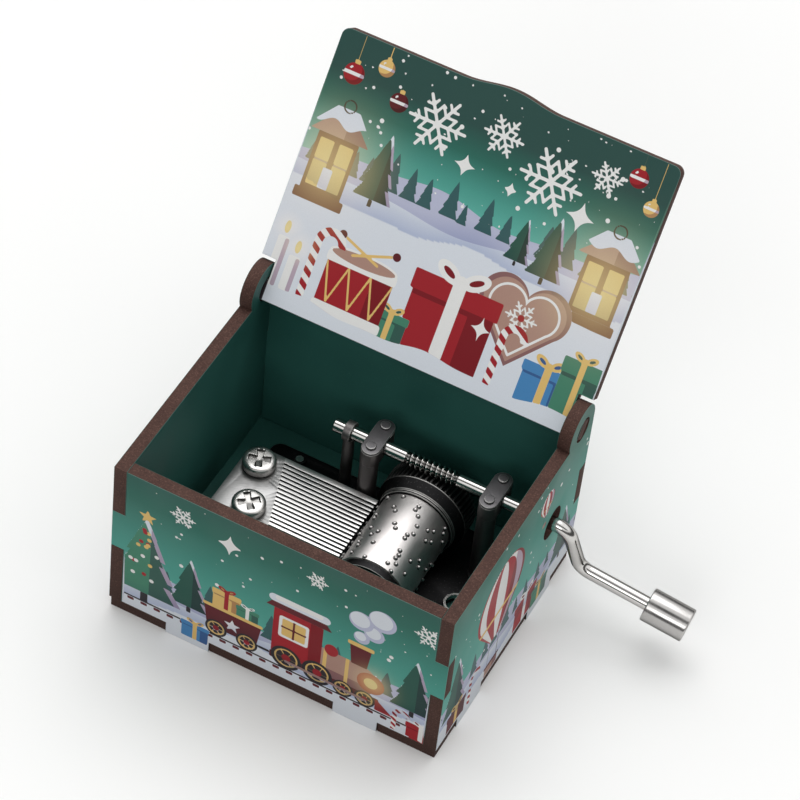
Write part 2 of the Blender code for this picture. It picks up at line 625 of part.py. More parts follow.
def rounded_corner(before, corner, after, radius):
    """Points round a bend of a wire's middle line, from one straight run to the next."""
    incoming, outgoing = (corner - before).normalized(), (after - corner).normalized()
    turn = incoming.angle(outgoing)
    setback = radius * math.tan(turn / 2)
    centre = corner + (outgoing - incoming).normalized() * (radius / math.cos(turn / 2))
    start = corner - incoming * setback - centre
    axis = incoming.cross(outgoing)
    return [centre + Matrix.Rotation(turn * i / BEND_STEPS, 3, axis) @ start for i in range(BEND_STEPS + 1)]


def on_handle(distance):
    """A point on the handle's axis, this far from the wire's second bend. The handle leans off the shaft."""
    return Vector((CRANK_BEND_X + CRANK_SPLAY + distance * math.cos(HANDLE_LEAN), 0,
                   -CRANK_THROW - distance * math.sin(HANDLE_LEAN)))


def wire_path():
    """The crank wire's middle line, from its free end in the box to its end in the knob."""
    start = Vector((SHAFT_LEFT_END, 0, 0))
    elbow = Vector((CRANK_BEND_X, 0, 0))
    wrist = on_handle(0)
    end = on_handle(HANDLE_BARE_LENGTH + KNOB_LENGTH - KNOB_RECESS_DEPTH + PRESS_GAP)
    return ([start] + rounded_corner(start, elbow, wrist, CRANK_BEND_RADIUS)
            + rounded_corner(elbow, wrist, end, CRANK_BEND_RADIUS) + [end])


def make_worm_thread(steel, axis):
    """Helical ridge of the worm, rooted in the wire. It starts where a valley meets the wheel's top tooth."""
    sunk = WORM_ROOT_RADIUS - WORM_ROOTING
    foot, crest = WORM_FOOT_SHARE * WORM_PITCH, WORM_CREST_SHARE * WORM_PITCH
    mesh = bpy.data.meshes.new("worm_thread")
    section = [(WORM_CREST_RADIUS, crest), (WORM_CREST_RADIUS, -crest), (sunk, -foot), (sunk, foot)]
    corners = [(radius, 0.0, height) for radius, height in section]
    mesh.from_pydata(corners, [(0, 1), (1, 2), (2, 3), (3, 0)], [])
    start = WORM_START + WORM_PITCH * CRANK_ANGLE / (2 * math.pi)
    thread = place("worm_thread", mesh, steel, (start, 0, 0), ALONG_X, axis)
    screw = thread.modifiers.new("helix", "SCREW")
    screw.screw_offset = WORM_PITCH
    screw.iterations = WORM_TURNS
    screw.steps = WORM_STEPS
    screw.render_steps = WORM_STEPS
    return made_mesh(thread)


def make_crank(steel, axis):
    """One steel wire: shaft with the worm rolled on it, arm and handle pin."""
    curve = bpy.data.curves.new("crank_shaft", "CURVE")
    curve.dimensions = "3D"
    curve.bevel_depth = SHAFT_RADIUS
    curve.bevel_resolution = 4
    curve.use_fill_caps = True
    points = wire_path()
    spline = curve.splines.new("POLY")
    spline.points.add(len(points) - 1)
    for point, position in zip(spline.points, points):
        point.co = (*position, 1.0)
    wire = made_mesh(place("crank_shaft", curve, steel, parent=axis))
    waist = tube_profile(WORM_ROOT_RADIUS, 2 * SHAFT_RADIUS, 0, (WORM_TURNS + 1) * WORM_PITCH)
    start = WORM_START - WORM_PITCH / 2
    cut(wire, turned("worm_waist", waist, steel, (start, 0, 0), ALONG_X, axis, ring=True))
    join(wire, make_worm_thread(steel, axis))


def make_knob(steel, crank_axis):
    """Turned metal knob that spins on the wire, and the riveted head that keeps it on."""
    spin = axis_empty("knob_axis", on_handle(HANDLE_BARE_LENGTH), (0, HANDLE_LEAN, 0), crank_axis)
    recess = KNOB_LENGTH - KNOB_RECESS_DEPTH
    profile = [(KNOB_RECESS_RADIUS, KNOB_LENGTH), (KNOB_RADIUS - KNOB_CHAMFER, KNOB_LENGTH),
               (KNOB_RADIUS, KNOB_LENGTH - KNOB_CHAMFER), (KNOB_RADIUS, KNOB_CHAMFER),
               (KNOB_RADIUS - KNOB_CHAMFER, 0), (BORE_RADIUS, 0), (BORE_RADIUS, recess),
               (KNOB_RECESS_RADIUS, recess)]
    turned("crank_knob", profile, steel, (0, 0, 0), ALONG_X, spin, steps=KNOB_STEPS, ring=True)
    start = recess + RUNNING_FIT
    end = start + KNOB_RIVET_THICKNESS
    head = [(0, end), (KNOB_RIVET_RADIUS - KNOB_CHAMFER, end), (KNOB_RIVET_RADIUS, end - KNOB_CHAMFER),
            (KNOB_RIVET_RADIUS, start), (0, start)]
    turned("knob_rivet", head, steel, on_handle(HANDLE_BARE_LENGTH), (0, math.pi / 2 + HANDLE_LEAN, 0),
           crank_axis, steps=SMALL_STEPS)


def pin_angles(note):
    """Where a note's pins stand round the drum, spread so that neighbours don't fall in rows."""
    golden = math.pi * (3 - math.sqrt(5))
    return [golden * (note * PINS_PER_NOTE + pin) for pin in range(PINS_PER_NOTE)]


def make_drum_sleeve(steel, axis):
    """Steel sleeve with its pins, one ring of pins under each tooth of the comb."""
    inner = DRUM_RADIUS - DRUM_WALL
    profile = tube_profile(inner, DRUM_RADIUS, DRUM_FRONT, DRUM_BACK)
    sleeve = turned("drum_sleeve", profile, steel, (0, 0, 0), ALONG_Y, axis, steps=DRUM_STEPS, ring=True)
    pins = bmesh.new()
    low, high = DRUM_RADIUS - DRUM_WALL / 2, DRUM_RADIUS + PIN_HEIGHT
    for note in range(NOTES):
        for angle in pin_angles(note):
            outward = Matrix.Translation((0, tooth_y(note), (low + high) / 2))
            bmesh.ops.create_cone(pins, cap_ends=True, segments=6, radius1=PIN_RADIUS, radius2=PIN_RADIUS,
                                  depth=high - low, matrix=Matrix.Rotation(angle, 4, "Y") @ outward)
    mesh = bpy.data.meshes.new("drum_pins")
    pins.to_mesh(mesh)
    pins.free()
    join(sleeve, place("drum_pins", mesh, steel, parent=axis))


def make_drum_ends(casting, axis):
    """Front end cap and rear flange of the drum, each with a plug that fits in the sleeve."""
    plug = DRUM_RADIUS - DRUM_WALL - PRESS_GAP
    bore = ARBOR_RADIUS + PRESS_GAP
    front = DRUM_FRONT - SEAM
    outer = DRUM_RADIUS - END_CAP_STEP
    cap = [(plug, front + PLUG_DEPTH), (plug, front), (outer, front), (outer, front - END_CAP_THICKNESS),
           (bore, front - END_CAP_THICKNESS), (bore, front + PLUG_DEPTH)]
    turned("drum_end_cap", cap, casting, (0, 0, 0), ALONG_Y, axis, steps=DRUM_STEPS, ring=True)
    back = DRUM_BACK + SEAM
    rear = WHEEL_FRONT - SEAM
    flange = [(WHEEL_TIP_RADIUS, rear), (WHEEL_TIP_RADIUS, rear - FLANGE_EDGE),
              (FLANGE_RIM_RADIUS, back + FLANGE_RIM_WIDTH), (FLANGE_RIM_RADIUS, back), (plug, back),
              (plug, back - PLUG_DEPTH), (bore, back - PLUG_DEPTH), (bore, rear)]
    turned("drum_flange", flange, casting, (0, 0, 0), ALONG_Y, axis, steps=DRUM_STEPS, ring=True)


def make_wheel(casting, axis):
    """Toothed wheel under the worm, its teeth slanted like the thread. One stands straight up at rest."""
    step = 2 * math.pi / WHEEL_TEETH
    tip, foot = WHEEL_TIP_SHARE * step, WHEEL_FOOT_SHARE * step
    outline = []
    for tooth in range(WHEEL_TEETH):
        middle = math.pi / 2 + tooth * step
        for radius, angle in ((WHEEL_ROOT_RADIUS, -foot), (WHEEL_TIP_RADIUS, -tip),
                              (WHEEL_TIP_RADIUS, tip), (WHEEL_ROOT_RADIUS, foot)):
            outline.append((radius * math.cos(middle + angle), radius * math.sin(middle + angle)))
    wheel = plate("worm_wheel", outline, WHEEL_WIDTH, casting, (0, SHAFT_Y, 0), (math.pi / 2, 0, 0), axis)
    slant = wheel.modifiers.new("tooth_slant", "SIMPLE_DEFORM")
    slant.deform_method = "TWIST"
    slant.deform_axis = "Z"
    lead = WORM_PITCH / (2 * math.pi * WORM_PITCH_RADIUS)
    slant.angle = lead * WHEEL_WIDTH / WHEEL_PITCH_RADIUS
    bore = rod_profile(ARBOR_RADIUS + PRESS_GAP, WHEEL_FRONT - WHEEL_WIDTH, WHEEL_BACK + WHEEL_WIDTH)
    cut(wheel, turned("wheel_bore", bore, casting, (0, 0, 0), ALONG_Y, axis, steps=SMALL_STEPS))


def make_arbor_and_brackets(steel, casting, axis):
    """Arbor that the drum is pressed on, and the two uprights that it turns in."""
    front_face = DRUM_FRONT - SEAM - END_CAP_THICKNESS - BRACKET_END_PLAY
    back_face = WHEEL_BACK + BRACKET_END_PLAY
    reach = BRACKET_THICKNESS + BRACKET_END_PLAY
    arbor = rod_profile(ARBOR_RADIUS, front_face - reach, back_face + reach)
    turned("drum_arbor", arbor, steel, (0, 0, 0), ALONG_Y, axis, steps=SMALL_STEPS)
    half, foot = BRACKET_WIDTH / 2, BEDPLATE_TOP + SEAM
    outline = arc((0, 0), half, 0.0, math.pi, SMALL_STEPS // 2)
    outline += [(-half, foot - DRUM_Z), (half, foot - DRUM_Z)]
    bore = circle((0, 0), ARBOR_RADIUS + RUNNING_FIT, SMALL_STEPS)
    for name, y in (("drum_bracket_front", front_face - BRACKET_THICKNESS / 2),
                    ("drum_bracket_rear", back_face + BRACKET_THICKNESS / 2)):
        flat_piece(name, [outline, bore], BRACKET_THICKNESS, casting, (DRUM_X, y, DRUM_Z),
                   (math.pi / 2, 0, 0))


def shade_round_pieces():
    """Smooth the turned and cut round meshes, with sharp edges kept."""
    for obj in PARTS.objects:
        if obj.type == "MESH" and obj.data.polygons:
            obj.data.shade_smooth()
            obj.data.set_sharp_from_angle(angle=SHARP_ANGLE)


def main():
    board = finish("dark_board", (0.115, 0.062, 0.048), 0.75)
    casting = finish("black_casting", (0.03, 0.03, 0.032), 0.45, 0.6)
    nickel = finish("nickel_plate", (0.62, 0.61, 0.6), 0.25, 1.0)
    comb_steel = finish("comb_steel", (0.55, 0.55, 0.55), 0.35, 1.0)
    bright_steel = finish("bright_steel", (0.5, 0.49, 0.48), 0.2, 1.0)
    knob_steel = finish("brushed_steel", (0.55, 0.53, 0.52), 0.35, 1.0)

    make_base(board)
    make_front_and_back(board)
    make_sides(board)
    make_lid(board)

    make_bedplate(casting)
    make_bedplate_fasteners(casting, nickel, bright_steel)
    make_comb(comb_steel)
    make_comb_base(casting)
    make_comb_screws(nickel)
    for side, x in PILLAR_X.items():
        make_pillar(side, x, casting)
        make_cap(side, x, casting)
    make_outboard_bearing(casting)

    drum_axis = axis_empty("drum_axis", (DRUM_X, 0, DRUM_Z))
    make_drum_sleeve(bright_steel, drum_axis)
    make_drum_ends(casting, drum_axis)
    make_wheel(casting, drum_axis)
    make_arbor_and_brackets(bright_steel, casting, drum_axis)

    crank_axis = axis_empty("crank_axis", (0, SHAFT_Y, SHAFT_Z), (CRANK_ANGLE, 0, 0))
    make_crank(bright_steel, crank_axis)
    make_knob(knob_steel, crank_axis)
    shade_round_pieces()


main()
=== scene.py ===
import math

import bpy
import numpy as np
from mathutils import Matrix, Vector, geometry


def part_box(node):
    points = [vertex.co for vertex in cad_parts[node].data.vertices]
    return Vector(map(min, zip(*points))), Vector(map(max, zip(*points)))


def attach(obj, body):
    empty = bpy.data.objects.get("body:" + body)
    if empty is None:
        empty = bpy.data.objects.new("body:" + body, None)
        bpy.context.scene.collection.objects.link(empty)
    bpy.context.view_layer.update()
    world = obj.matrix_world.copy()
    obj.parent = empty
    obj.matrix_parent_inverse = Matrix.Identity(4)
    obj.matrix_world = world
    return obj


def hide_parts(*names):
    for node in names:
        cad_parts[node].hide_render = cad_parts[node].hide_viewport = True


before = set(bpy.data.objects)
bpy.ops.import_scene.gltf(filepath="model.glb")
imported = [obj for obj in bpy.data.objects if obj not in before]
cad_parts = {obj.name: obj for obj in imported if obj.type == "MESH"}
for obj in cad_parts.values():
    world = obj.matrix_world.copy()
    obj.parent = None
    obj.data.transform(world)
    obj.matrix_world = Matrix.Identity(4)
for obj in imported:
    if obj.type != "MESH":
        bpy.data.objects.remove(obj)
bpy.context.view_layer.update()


# Base board
# The bottom of the box is brown fibreboard, cut by laser. Its upper face has the same dark green paint as the
# inside of the walls, and its notches take the walls' feet. Three sunk screws go up through it.
MM = 0.001
BOARD = 2.5


def add(tree, kind, inputs=(), **settings):
    """One shader node. Settings are its properties, and inputs are values or the sockets that feed it."""
    made = tree.nodes.new("ShaderNode" + kind)
    for key, value in settings.items():
        setattr(made, key, value)
    for key, value in dict(inputs).items():
        if isinstance(value, bpy.types.NodeSocket):
            tree.links.new(value, made.inputs[key])
        else:
            made.inputs[key].default_value = value
    return made


def calculate(tree, operation, first, second=0.0):
    """A Math node's result."""
    return add(tree, "Math", {0: first, 1: second}, operation=operation).outputs[0]


def blend(tree, share, first, second, kind="MIX"):
    """Two colours mixed by a share."""
    return add(tree, "Mix", {0: share, 6: first, 7: second}, data_type="RGBA", blend_type=kind).outputs[2]


def ranged(tree, value, low, high, first=0.0, last=1.0):
    """A value that runs smoothly from one number to another while its source runs between two others."""
    settings = {"Value": value, "From Min": low, "From Max": high, "To Min": first, "To Max": last}
    return add(tree, "MapRange", settings, interpolation_type="SMOOTHSTEP").outputs[0]


def uneven(tree, patches, smooth, rough):
    """A roughness that changes with soft noise."""
    return ranged(tree, patches, 0.3, 0.7, smooth, rough)


def tint(red, green, blue):
    """A colour as it shows, from 0 to 255, turned into the linear values that a shader takes."""
    shown = np.array([red, green, blue]) / 255
    linear = np.where(shown < 0.04045, shown / 12.92, ((shown + 0.055) / 1.055) ** 2.4)
    return (*linear.tolist(), 1.0)


def coordinates(tree):
    """A point's place in the object, in metres."""
    return add(tree, "TexCoord").outputs["Object"]


def axes(tree, place):
    """The X, Y and Z of a place or of a direction."""
    return add(tree, "SeparateXYZ", {0: place}).outputs


def noise(tree, place, scale, detail=2.0):
    """Soft noise from 0 to 1."""
    return add(tree, "TexNoise", {"Vector": place, "Scale": scale, "Detail": detail}).outputs["Fac"]


def raised(tree, height, strength, distance):
    """A normal from a height. The distance is in millimetres."""
    return add(tree, "Bump", {"Height": height, "Strength": strength, "Distance": distance * MM}).outputs[0]


def new_material(name, metallic=0.0, specular=0.5, rim=1.0):
    """A material, its nodes and its Principled shader. The rim is its brightness at a glancing angle."""
    material = bpy.data.materials.new(name)
    material.use_nodes = True
    shader = material.node_tree.nodes["Principled BSDF"]
    shader.inputs["Metallic"].default_value = metallic
    shader.inputs["Specular IOR Level"].default_value = specular
    shader.inputs["Specular Tint"].default_value = (rim, rim, rim, 1.0)
    return material, material.node_tree, shader


def new_group(name, outputs, **inputs):
    """A shader node group, what feeds it, and its result. Outputs are values, or colours where named so."""
    group = bpy.data.node_groups.new(name, "ShaderNodeTree")
    for socket, default in inputs.items():
        made = group.interface.new_socket(socket, in_out="INPUT", socket_type="NodeSocketFloat")
        made.default_value = default
    for socket in outputs:
        kind = "NodeSocketColor" if "Colour" in socket else "NodeSocketFloat"
        group.interface.new_socket(socket, in_out="OUTPUT", socket_type=kind)
    return group, group.nodes.new("NodeGroupInput").outputs, group.nodes.new("NodeGroupOutput")


def use_group(tree, group, **inputs):
    """A node group placed in a material with its own values."""
    made = tree.nodes.new("ShaderNodeGroup")
    made.node_tree = group
    for name, value in inputs.items():
        made.inputs[name].default_value = value
    return made.outputs


def feed(tree, node, **sockets):
    """Join colours, values and normals to a node's sockets, named with _ for a space."""
    for name, value in sockets.items():
        tree.links.new(value, node.inputs[name.replace("_", " ")])


# laser-cut fibreboard: charred brown with paler fibres, darker towards the table
board_cut, given, result = new_group("board_cut", ("Colour", "Grain"))
place = coordinates(board_cut)
fibre = noise(board_cut, place, 4200.0, 4.0)
colour = blend(board_cut, noise(board_cut, place, 260.0), tint(66, 44, 39), tint(89, 64, 56))
colour = blend(board_cut, ranged(board_cut, fibre, 0.3, 0.5, 0.6, 0.0), colour, tint(46, 29, 25))
colour = blend(board_cut, ranged(board_cut, fibre, 0.52, 0.7, 0.0, 0.4), colour, tint(130, 100, 90))
low = ranged(board_cut, axes(board_cut, place)["Z"], 0.0, 12 * MM, 0.4, 0.0)
feed(board_cut, result, Colour=blend(board_cut, low, colour, tint(46, 31, 27)), Grain=fibre)

# satin paint: dark green with faint clouds and specks
green_paint, given, result = new_group("green_paint", ("Colour", "Grain", "Roughness"))
place = coordinates(green_paint)
fine, cloud = noise(green_paint, place, 3800.0), noise(green_paint, place, 55.0)
colour = blend(green_paint, ranged(green_paint, cloud, 0.3, 0.7), tint(40, 88, 81), tint(48, 100, 92))
colour = blend(green_paint, ranged(green_paint, fine, 0.62, 0.75, 0.0, 0.25), colour, tint(80, 132, 122))
feed(green_paint, result, Colour=colour, Grain=fine,
     Roughness=uneven(green_paint, cloud, 0.46, 0.58))

base_finish, tree, shader = new_material("base_finish", specular=0.3)
cut, paint = use_group(tree, board_cut), use_group(tree, green_paint)
painted = ranged(tree, axes(tree, coordinates(tree))["Z"], (BOARD - 0.1) * MM, (BOARD - 0.06) * MM)
feed(tree, shader, Base_Color=blend(tree, painted, cut["Colour"], paint["Colour"]),
     Roughness=calculate(tree, "SUBTRACT", 0.82, calculate(tree, "MULTIPLY", painted, 0.3)),
     Normal=raised(tree, cut["Grain"], 0.4, 0.06))


def dress(node, material):
    """Give a CAD node its material."""
    for slot in bpy.data.objects[node].material_slots:
        slot.material = material


dress("base_panel", base_finish)


# Front wall
# The walls are the same board. Fingers half way up lock each corner, and two feet stand in the base's
# notches. The outer face carries a print, the inner face green paint, and the laser-cut edges stay bare.
SEAM = 0.05
FINGER = (16.7, 25.9)
FRONT_FOOT = (12.1, 20.7)
BOARD_EDGE = 0.07
PRINT_SPACING, BACK_PRINT_SPACING, PAINT_SPACING = 0.25, 0.325, 0.6


def extent(node):
    """Lowest and highest corner of a CAD node, in millimetres."""
    return np.array(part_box(node)) / MM


HALF_WIDTH, HALF_DEPTH = extent("right_panel")[1][0], -extent("front_panel")[0][1]
RIM = extent("front_panel")[1][2]


def to_line(points, start, end):
    """The distance to a straight line between two points: to the nearest of its points."""
    side = np.subtract(end, start)
    share = np.clip((points - start) @ side / (side @ side), 0, 1)
    away = points - start - share[:, None] * side
    return np.hypot(away[:, 0], away[:, 1])


def polygon(points, corners):
    """Signed distance to a closed outline, negative inside: the least distance to its sides, with the sign
    from how many sides a ray to the right crosses."""
    corners = np.asarray(corners, float)
    least = np.full(len(points), np.inf)
    inside = np.zeros(len(points), bool)
    for start, end in zip(corners, np.roll(corners, -1, axis=0)):
        side = end - start
        least = np.minimum(least, to_line(points, start, end))
        crosses = (start[1] > points[:, 1]) != (end[1] > points[:, 1])
        inside ^= crosses & (points[:, 0] < start[0] + (points[:, 1] - start[1]) * side[0] / (side[1] or 1.0))
    return np.where(inside, -least, least)


def inset(loop, distance):
    """A loop moved to its left: each corner goes along the sum of its two sides' normals."""
    ahead = np.roll(loop, -1, axis=0) - loop
    ahead /= np.linalg.norm(ahead, axis=1, keepdims=True)
    behind = np.roll(ahead, 1, axis=0)
    left = np.stack([-(ahead + behind)[:, 1], (ahead + behind)[:, 0]], 1)
    return loop + left * distance / (1 + (ahead * behind).sum(1, keepdims=True))


def cover(loops, spacing):
    """Triangles over the shape between loops. Their corners are the loops' points and, where spacing is
    given, a square lattice inside."""
    def depth(spots):
        return np.max([polygon(spots, loops[0])] + [-polygon(spots, loop) for loop in loops[1:]], 0)
    points, edges, start = np.concatenate(loops), [], 0
    for loop in loops:
        edges += [(start + i, start + (i + 1) % len(loop)) for i in range(len(loop))]
        start += len(loop)
    if spacing:
        lines = [np.arange(low + spacing / 2, high, spacing)
                 for low, high in zip(points.min(0), points.max(0))]
        lattice = np.stack(np.meshgrid(*lines), -1).reshape(-1, 2)
        points = np.concatenate([points, lattice[depth(lattice) < -0.4 * spacing]])
    found = geometry.delaunay_2d_cdt(points.tolist(), edges, [], 1, 1e-7)
    triangles = np.array([source[0] for source in found[3]])[np.array(found[2])]
    return points, triangles[depth(points[triangles].mean(1)) < 0]


def quads(rows, columns, ring=False, first=0):
    """Faces of a grid whose columns close round, and whose rows do too in a ring."""
    row, column = np.meshgrid(np.arange(rows if ring else rows - 1), np.arange(columns), indexing="ij")
    here, below, beside = row * columns, (row + 1) % rows * columns, (column + 1) % columns
    return first + np.stack([here + column, below + column, below + beside, here + beside], -1).reshape(-1, 4)


def slab(loops, low, high, edge=0.1, spacing=(None, None)):
    """A flat solid with rounded edges. Along each loop runs a profile: a quarter round from the upper face,
    the wall, and a quarter round to the lower face. Triangles cover both faces. Heights are numbers or
    functions of the points. It returns points, faces, and what they carry: each face's part (0 wall, 1 upper,
    2 lower), and edge wear and highlight, which is 1 on the rounds. Materials lighten the rounds with it:
    edge wear, and on metal a painted highlight too."""
    loops = [np.asarray(loop, float) for loop in loops]
    high, low = (level if callable(level) else (lambda spots, level=level: np.full(len(spots), float(level)))
                 for level in (high, low))
    turn = np.linspace(0, np.pi / 2, 3)
    rounds = list(zip(edge * (1 - np.sin(turn)), edge * (1 - np.cos(turn))))
    rows = [(step, high, -drop) for step, drop in rounds] + [(step, low, drop) for step, drop in rounds[::-1]]
    points, faces, parts, wear, rims, start = [], [], [], [], [[], []], 0
    for loop in loops:
        for step, level, drop in rows:
            line = inset(loop, step)
            points.append(np.column_stack([line, level(line) + drop]))
        wear.append(np.repeat([0.0, 1.0, 0.0, 0.0, 1.0, 0.0], len(loop)))
        faces.append(quads(len(rows), len(loop), first=start))
        parts.append(np.repeat([1, 1, 0, 2, 2], len(loop)))
        rims[0].append(start + np.arange(len(loop)))
        rims[1].append(start + (len(rows) - 1) * len(loop) + np.arange(len(loop)))
        start += len(rows) * len(loop)
    for part, level in enumerate((high, low)):
        flat, triangles = cover([inset(loop, edge) for loop in loops], spacing[part])
        inner = flat[sum(map(len, loops)):]
        index = np.concatenate(rims[part] + [start + np.arange(len(inner))])
        points.append(np.column_stack([inner, level(inner)]))
        wear.append(np.zeros(len(inner)))
        faces.append(index[triangles if part == 0 else triangles[:, ::-1]])
        parts.append(np.full(len(triangles), 1 + part))
        start += len(inner)
    return np.concatenate(points), faces, {"parts": np.concatenate(parts), "wear": np.concatenate(wear)}


def set_in(shape, origin, across, up):
    """A flat solid placed in the box: origin plus each coordinate along its own direction."""
    across, up = np.asarray(across, float), np.asarray(up, float)
    return (np.asarray(origin, float) + shape[0] @ np.stack([across, up, np.cross(across, up)]), *shape[1:])


def put(name, body, shape, materials, replaces, sharp=50.0):
    """A finished piece in the scene: points in millimetres, faces as arrays of three or four corners, and
    what they carry. Quads are smooth up to the sharp angle, and triangles are flat."""
    points, faces, values = shape
    mesh = bpy.data.meshes.new(name)
    sizes = np.concatenate([np.full(len(group), group.shape[1]) for group in faces])
    corners = np.concatenate([group.ravel() for group in faces])
    mesh.vertices.add(len(points))
    mesh.vertices.foreach_set("co", (points * MM).astype(np.float32).ravel())
    mesh.loops.add(len(corners))
    mesh.loops.foreach_set("vertex_index", corners.astype(np.int32))
    mesh.polygons.add(len(sizes))
    mesh.polygons.foreach_set("loop_start", (np.cumsum(sizes) - sizes).astype(np.int32))
    mesh.polygons.foreach_set("use_smooth", sizes == 4)
    if len(materials) > 1:
        mesh.polygons.foreach_set("material_index", values["parts"].astype(np.int32))
    for material in materials:
        mesh.materials.append(material)
    for key in sorted(set(values) - {"parts"}):
        mesh.attributes.new(key, "FLOAT", "POINT").data.foreach_set("value", values[key].astype(np.float32))
    mesh.update(calc_edges=True)
    mesh.validate()
    mesh.set_sharp_from_angle(angle=math.radians(sharp))
    made = bpy.data.objects.new(name, mesh)
    bpy.context.scene.collection.objects.link(made)
    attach(made, body)
    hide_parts(*replaces)


# A print is a list of rows in the order of laying. A row is an ink and a shape, which is a function that
# gives each point's distance, negative inside. The board's points carry one distance for each ink, and the
# material turns every distance into a clean edge. These are the inks, from the lowest to the topmost.
INKS = {"haze": (196, 200, 224), "far": (58, 98, 100), "snow": (232, 238, 246), "fir": (38, 88, 76),
        "leaf": (72, 138, 112), "tan": (184, 146, 132), "maroon": (98, 28, 36), "red": (168, 32, 42),
        "gold": (238, 200, 122), "blue": (74, 140, 196), "white": (248, 248, 246), "dark": (44, 38, 42),
        "shade": (0, 0, 0)}
FAR_AWAY = 9.0
INK_BLUR = 0.03
FIR_TIERS = 4
RAIL = 5.4


def draw(points, rows):
    """Lay the rows of a print. Inks that would lie over a new shape are cut away there. The sky, the tone of
    the snow and the glow aren't inks: of these the strongest counts."""
    order = list(INKS)
    sheet = {ink: np.full(len(points), FAR_AWAY) for ink in order}
    sheet.update({field: np.zeros(len(points)) for field in ("sky", "tone", "glow")})
    for ink, shape in rows:
        found = shape(points)
        if ink in INKS:
            for later in order[order.index(ink) + 1:]:
                sheet[later] = np.maximum(sheet[later], -found)
            sheet[ink] = np.minimum(sheet[ink], found)
        else:
            sheet[ink] = np.maximum(sheet[ink], found)
    return sheet


def as_shape(distance):
    """Turn a function of points and sizes into one that takes the sizes and returns a shape."""
    return lambda *sizes: lambda points: distance(points, *sizes)


def both(*shapes):
    """Where all shapes overlap: the greatest of their distances."""
    return lambda points: np.max([shape(points) for shape in shapes], 0)


def either(*shapes):
    """Where any shape lies: the least of their distances."""
    return lambda points: np.min([shape(points) for shape in shapes], 0)


def outside(shape):
    """All that a shape leaves free."""
    return lambda points: -shape(points)


def ring(shape, half):
    """A band along a shape's edge, this far to either side."""
    return lambda points: np.abs(shape(points)) - half


# a closed outline, a stroke with round ends, all right of a line, all above a height, a disc
outline = as_shape(polygon)
bar = as_shape(lambda points, start, end, width: to_line(points, start, end) - width / 2)
right_of = as_shape(lambda points, x: x - points[:, 0])
above = as_shape(lambda points, y: y - points[:, 1])
disc = as_shape(lambda points, x, y, radius: np.hypot(points[:, 0] - x, points[:, 1] - y) - radius)


@as_shape
def oval(points, x, y, wide, high, turn=0.0):
    """An ellipse, true near its rim: the scaled radius times itself less one, over its slope."""
    east, north = points[:, 0] - x, points[:, 1] - y
    along = east * math.cos(turn) + north * math.sin(turn)
    aside = north * math.cos(turn) - east * math.sin(turn)
    scaled = np.hypot(along / wide, aside / high)
    return scaled * (scaled - 1) / np.maximum(np.hypot(along / wide ** 2, aside / high ** 2), 1e-6)


@as_shape
def block(points, left, bottom, right, top, radius=0.0):
    """A rectangle with round corners: how far the point lies past each side, put together."""
    east = np.abs(points[:, 0] - (left + right) / 2) - (right - left) / 2 + radius
    north = np.abs(points[:, 1] - (bottom + top) / 2) - (top - bottom) / 2 + radius
    past = np.hypot(np.maximum(east, 0), np.maximum(north, 0))
    return past + np.minimum(np.maximum(east, north), 0) - radius


@as_shape
def sparkle(points, x, y, reach):
    """A four-pointed glint: the squared sum of the roots of both distances stays under the reach."""
    east, north = np.abs(points[:, 0] - x), np.abs(points[:, 1] - y)
    return 0.5 * ((np.sqrt(east) + np.sqrt(north)) ** 2 - reach)


@as_shape
def snowflake(points, x, y, reach, width):
    """Six arms with side branches: strokes in one twelfth of the circle, which the rest mirrors."""
    east, north = points[:, 0] - x, points[:, 1] - y
    angle = np.abs((np.arctan2(north, east) + np.pi / 6) % (np.pi / 3) - np.pi / 6)
    folded = np.hypot(east, north)[:, None] * np.stack([np.cos(angle), np.sin(angle)], 1)
    arms = [bar((0, 0), (reach, 0), width)]
    for share in (0.38, 0.66):
        branch = reach * (1.02 - share) * 0.62
        arms.append(bar((share * reach, 0), (share * reach + branch * 0.5, branch * 0.87), 0.85 * width))
    return either(*arms)(folded)


@as_shape
def hills(points, level, rise, length, shift):
    """Rolling ground: the point's height, less a level with two waves added."""
    waves = np.sin(points[:, 0] / length + shift) + 0.4 * np.sin(points[:, 0] / length * 2.3 + shift)
    return (points[:, 1] - level - rise * waves) * 0.97


@as_shape
def rising(points, low, high):
    """A share that grows from 0 to 1 between two heights."""
    return np.clip((points[:, 1] - low) / (high - low), 0, 1)


@as_shape
def shine(points, x, y, reach, strength):
    """Warm light that fades from a point as a bell curve."""
    return strength * np.exp(-((points - (x, y)) ** 2).sum(1) / reach ** 2)


def star(x, y, radius, tips=5):
    """A star whose inner corners lie at 0.42 of its reach."""
    angle = np.pi / 2 + np.arange(2 * tips) * np.pi / tips
    reach = np.where(np.arange(2 * tips) % 2, 0.42 * radius, radius)
    return outline(np.stack([x + reach * np.cos(angle), y + reach * np.sin(angle)], 1))


def tapered(x, low, low_half, high, high_half):
    """A shape with slanted sides, from half its width at its first and at its second height."""
    return outline([(x - low_half, low), (x + low_half, low), (x + high_half, high), (x - high_half, high)])


def fir(x, y, height, width):
    """Tiers of drooping branches, each narrower than the one below."""
    right = []
    for tier in range(FIR_TIERS):
        half, above_half = (width / 2 * (1 - step / FIR_TIERS) ** 0.9 for step in (tier, tier + 1))
        level = y + height * (0.08 + 0.92 * tier / FIR_TIERS)
        inner = x + 0.62 * above_half + 0.04 * width
        right += [(x + half, level), (inner, level + 0.95 * height / FIR_TIERS)]
    right[-1] = (x, y + height)
    return outline(right + [(2 * x - east, north) for east, north in reversed(right[:-1])])


def placed(x, y, wide, high):
    """A motif's own frame: it turns shares of the motif's width and height into a point on the board."""
    return lambda east, north: (x + east * wide, y + north * high)


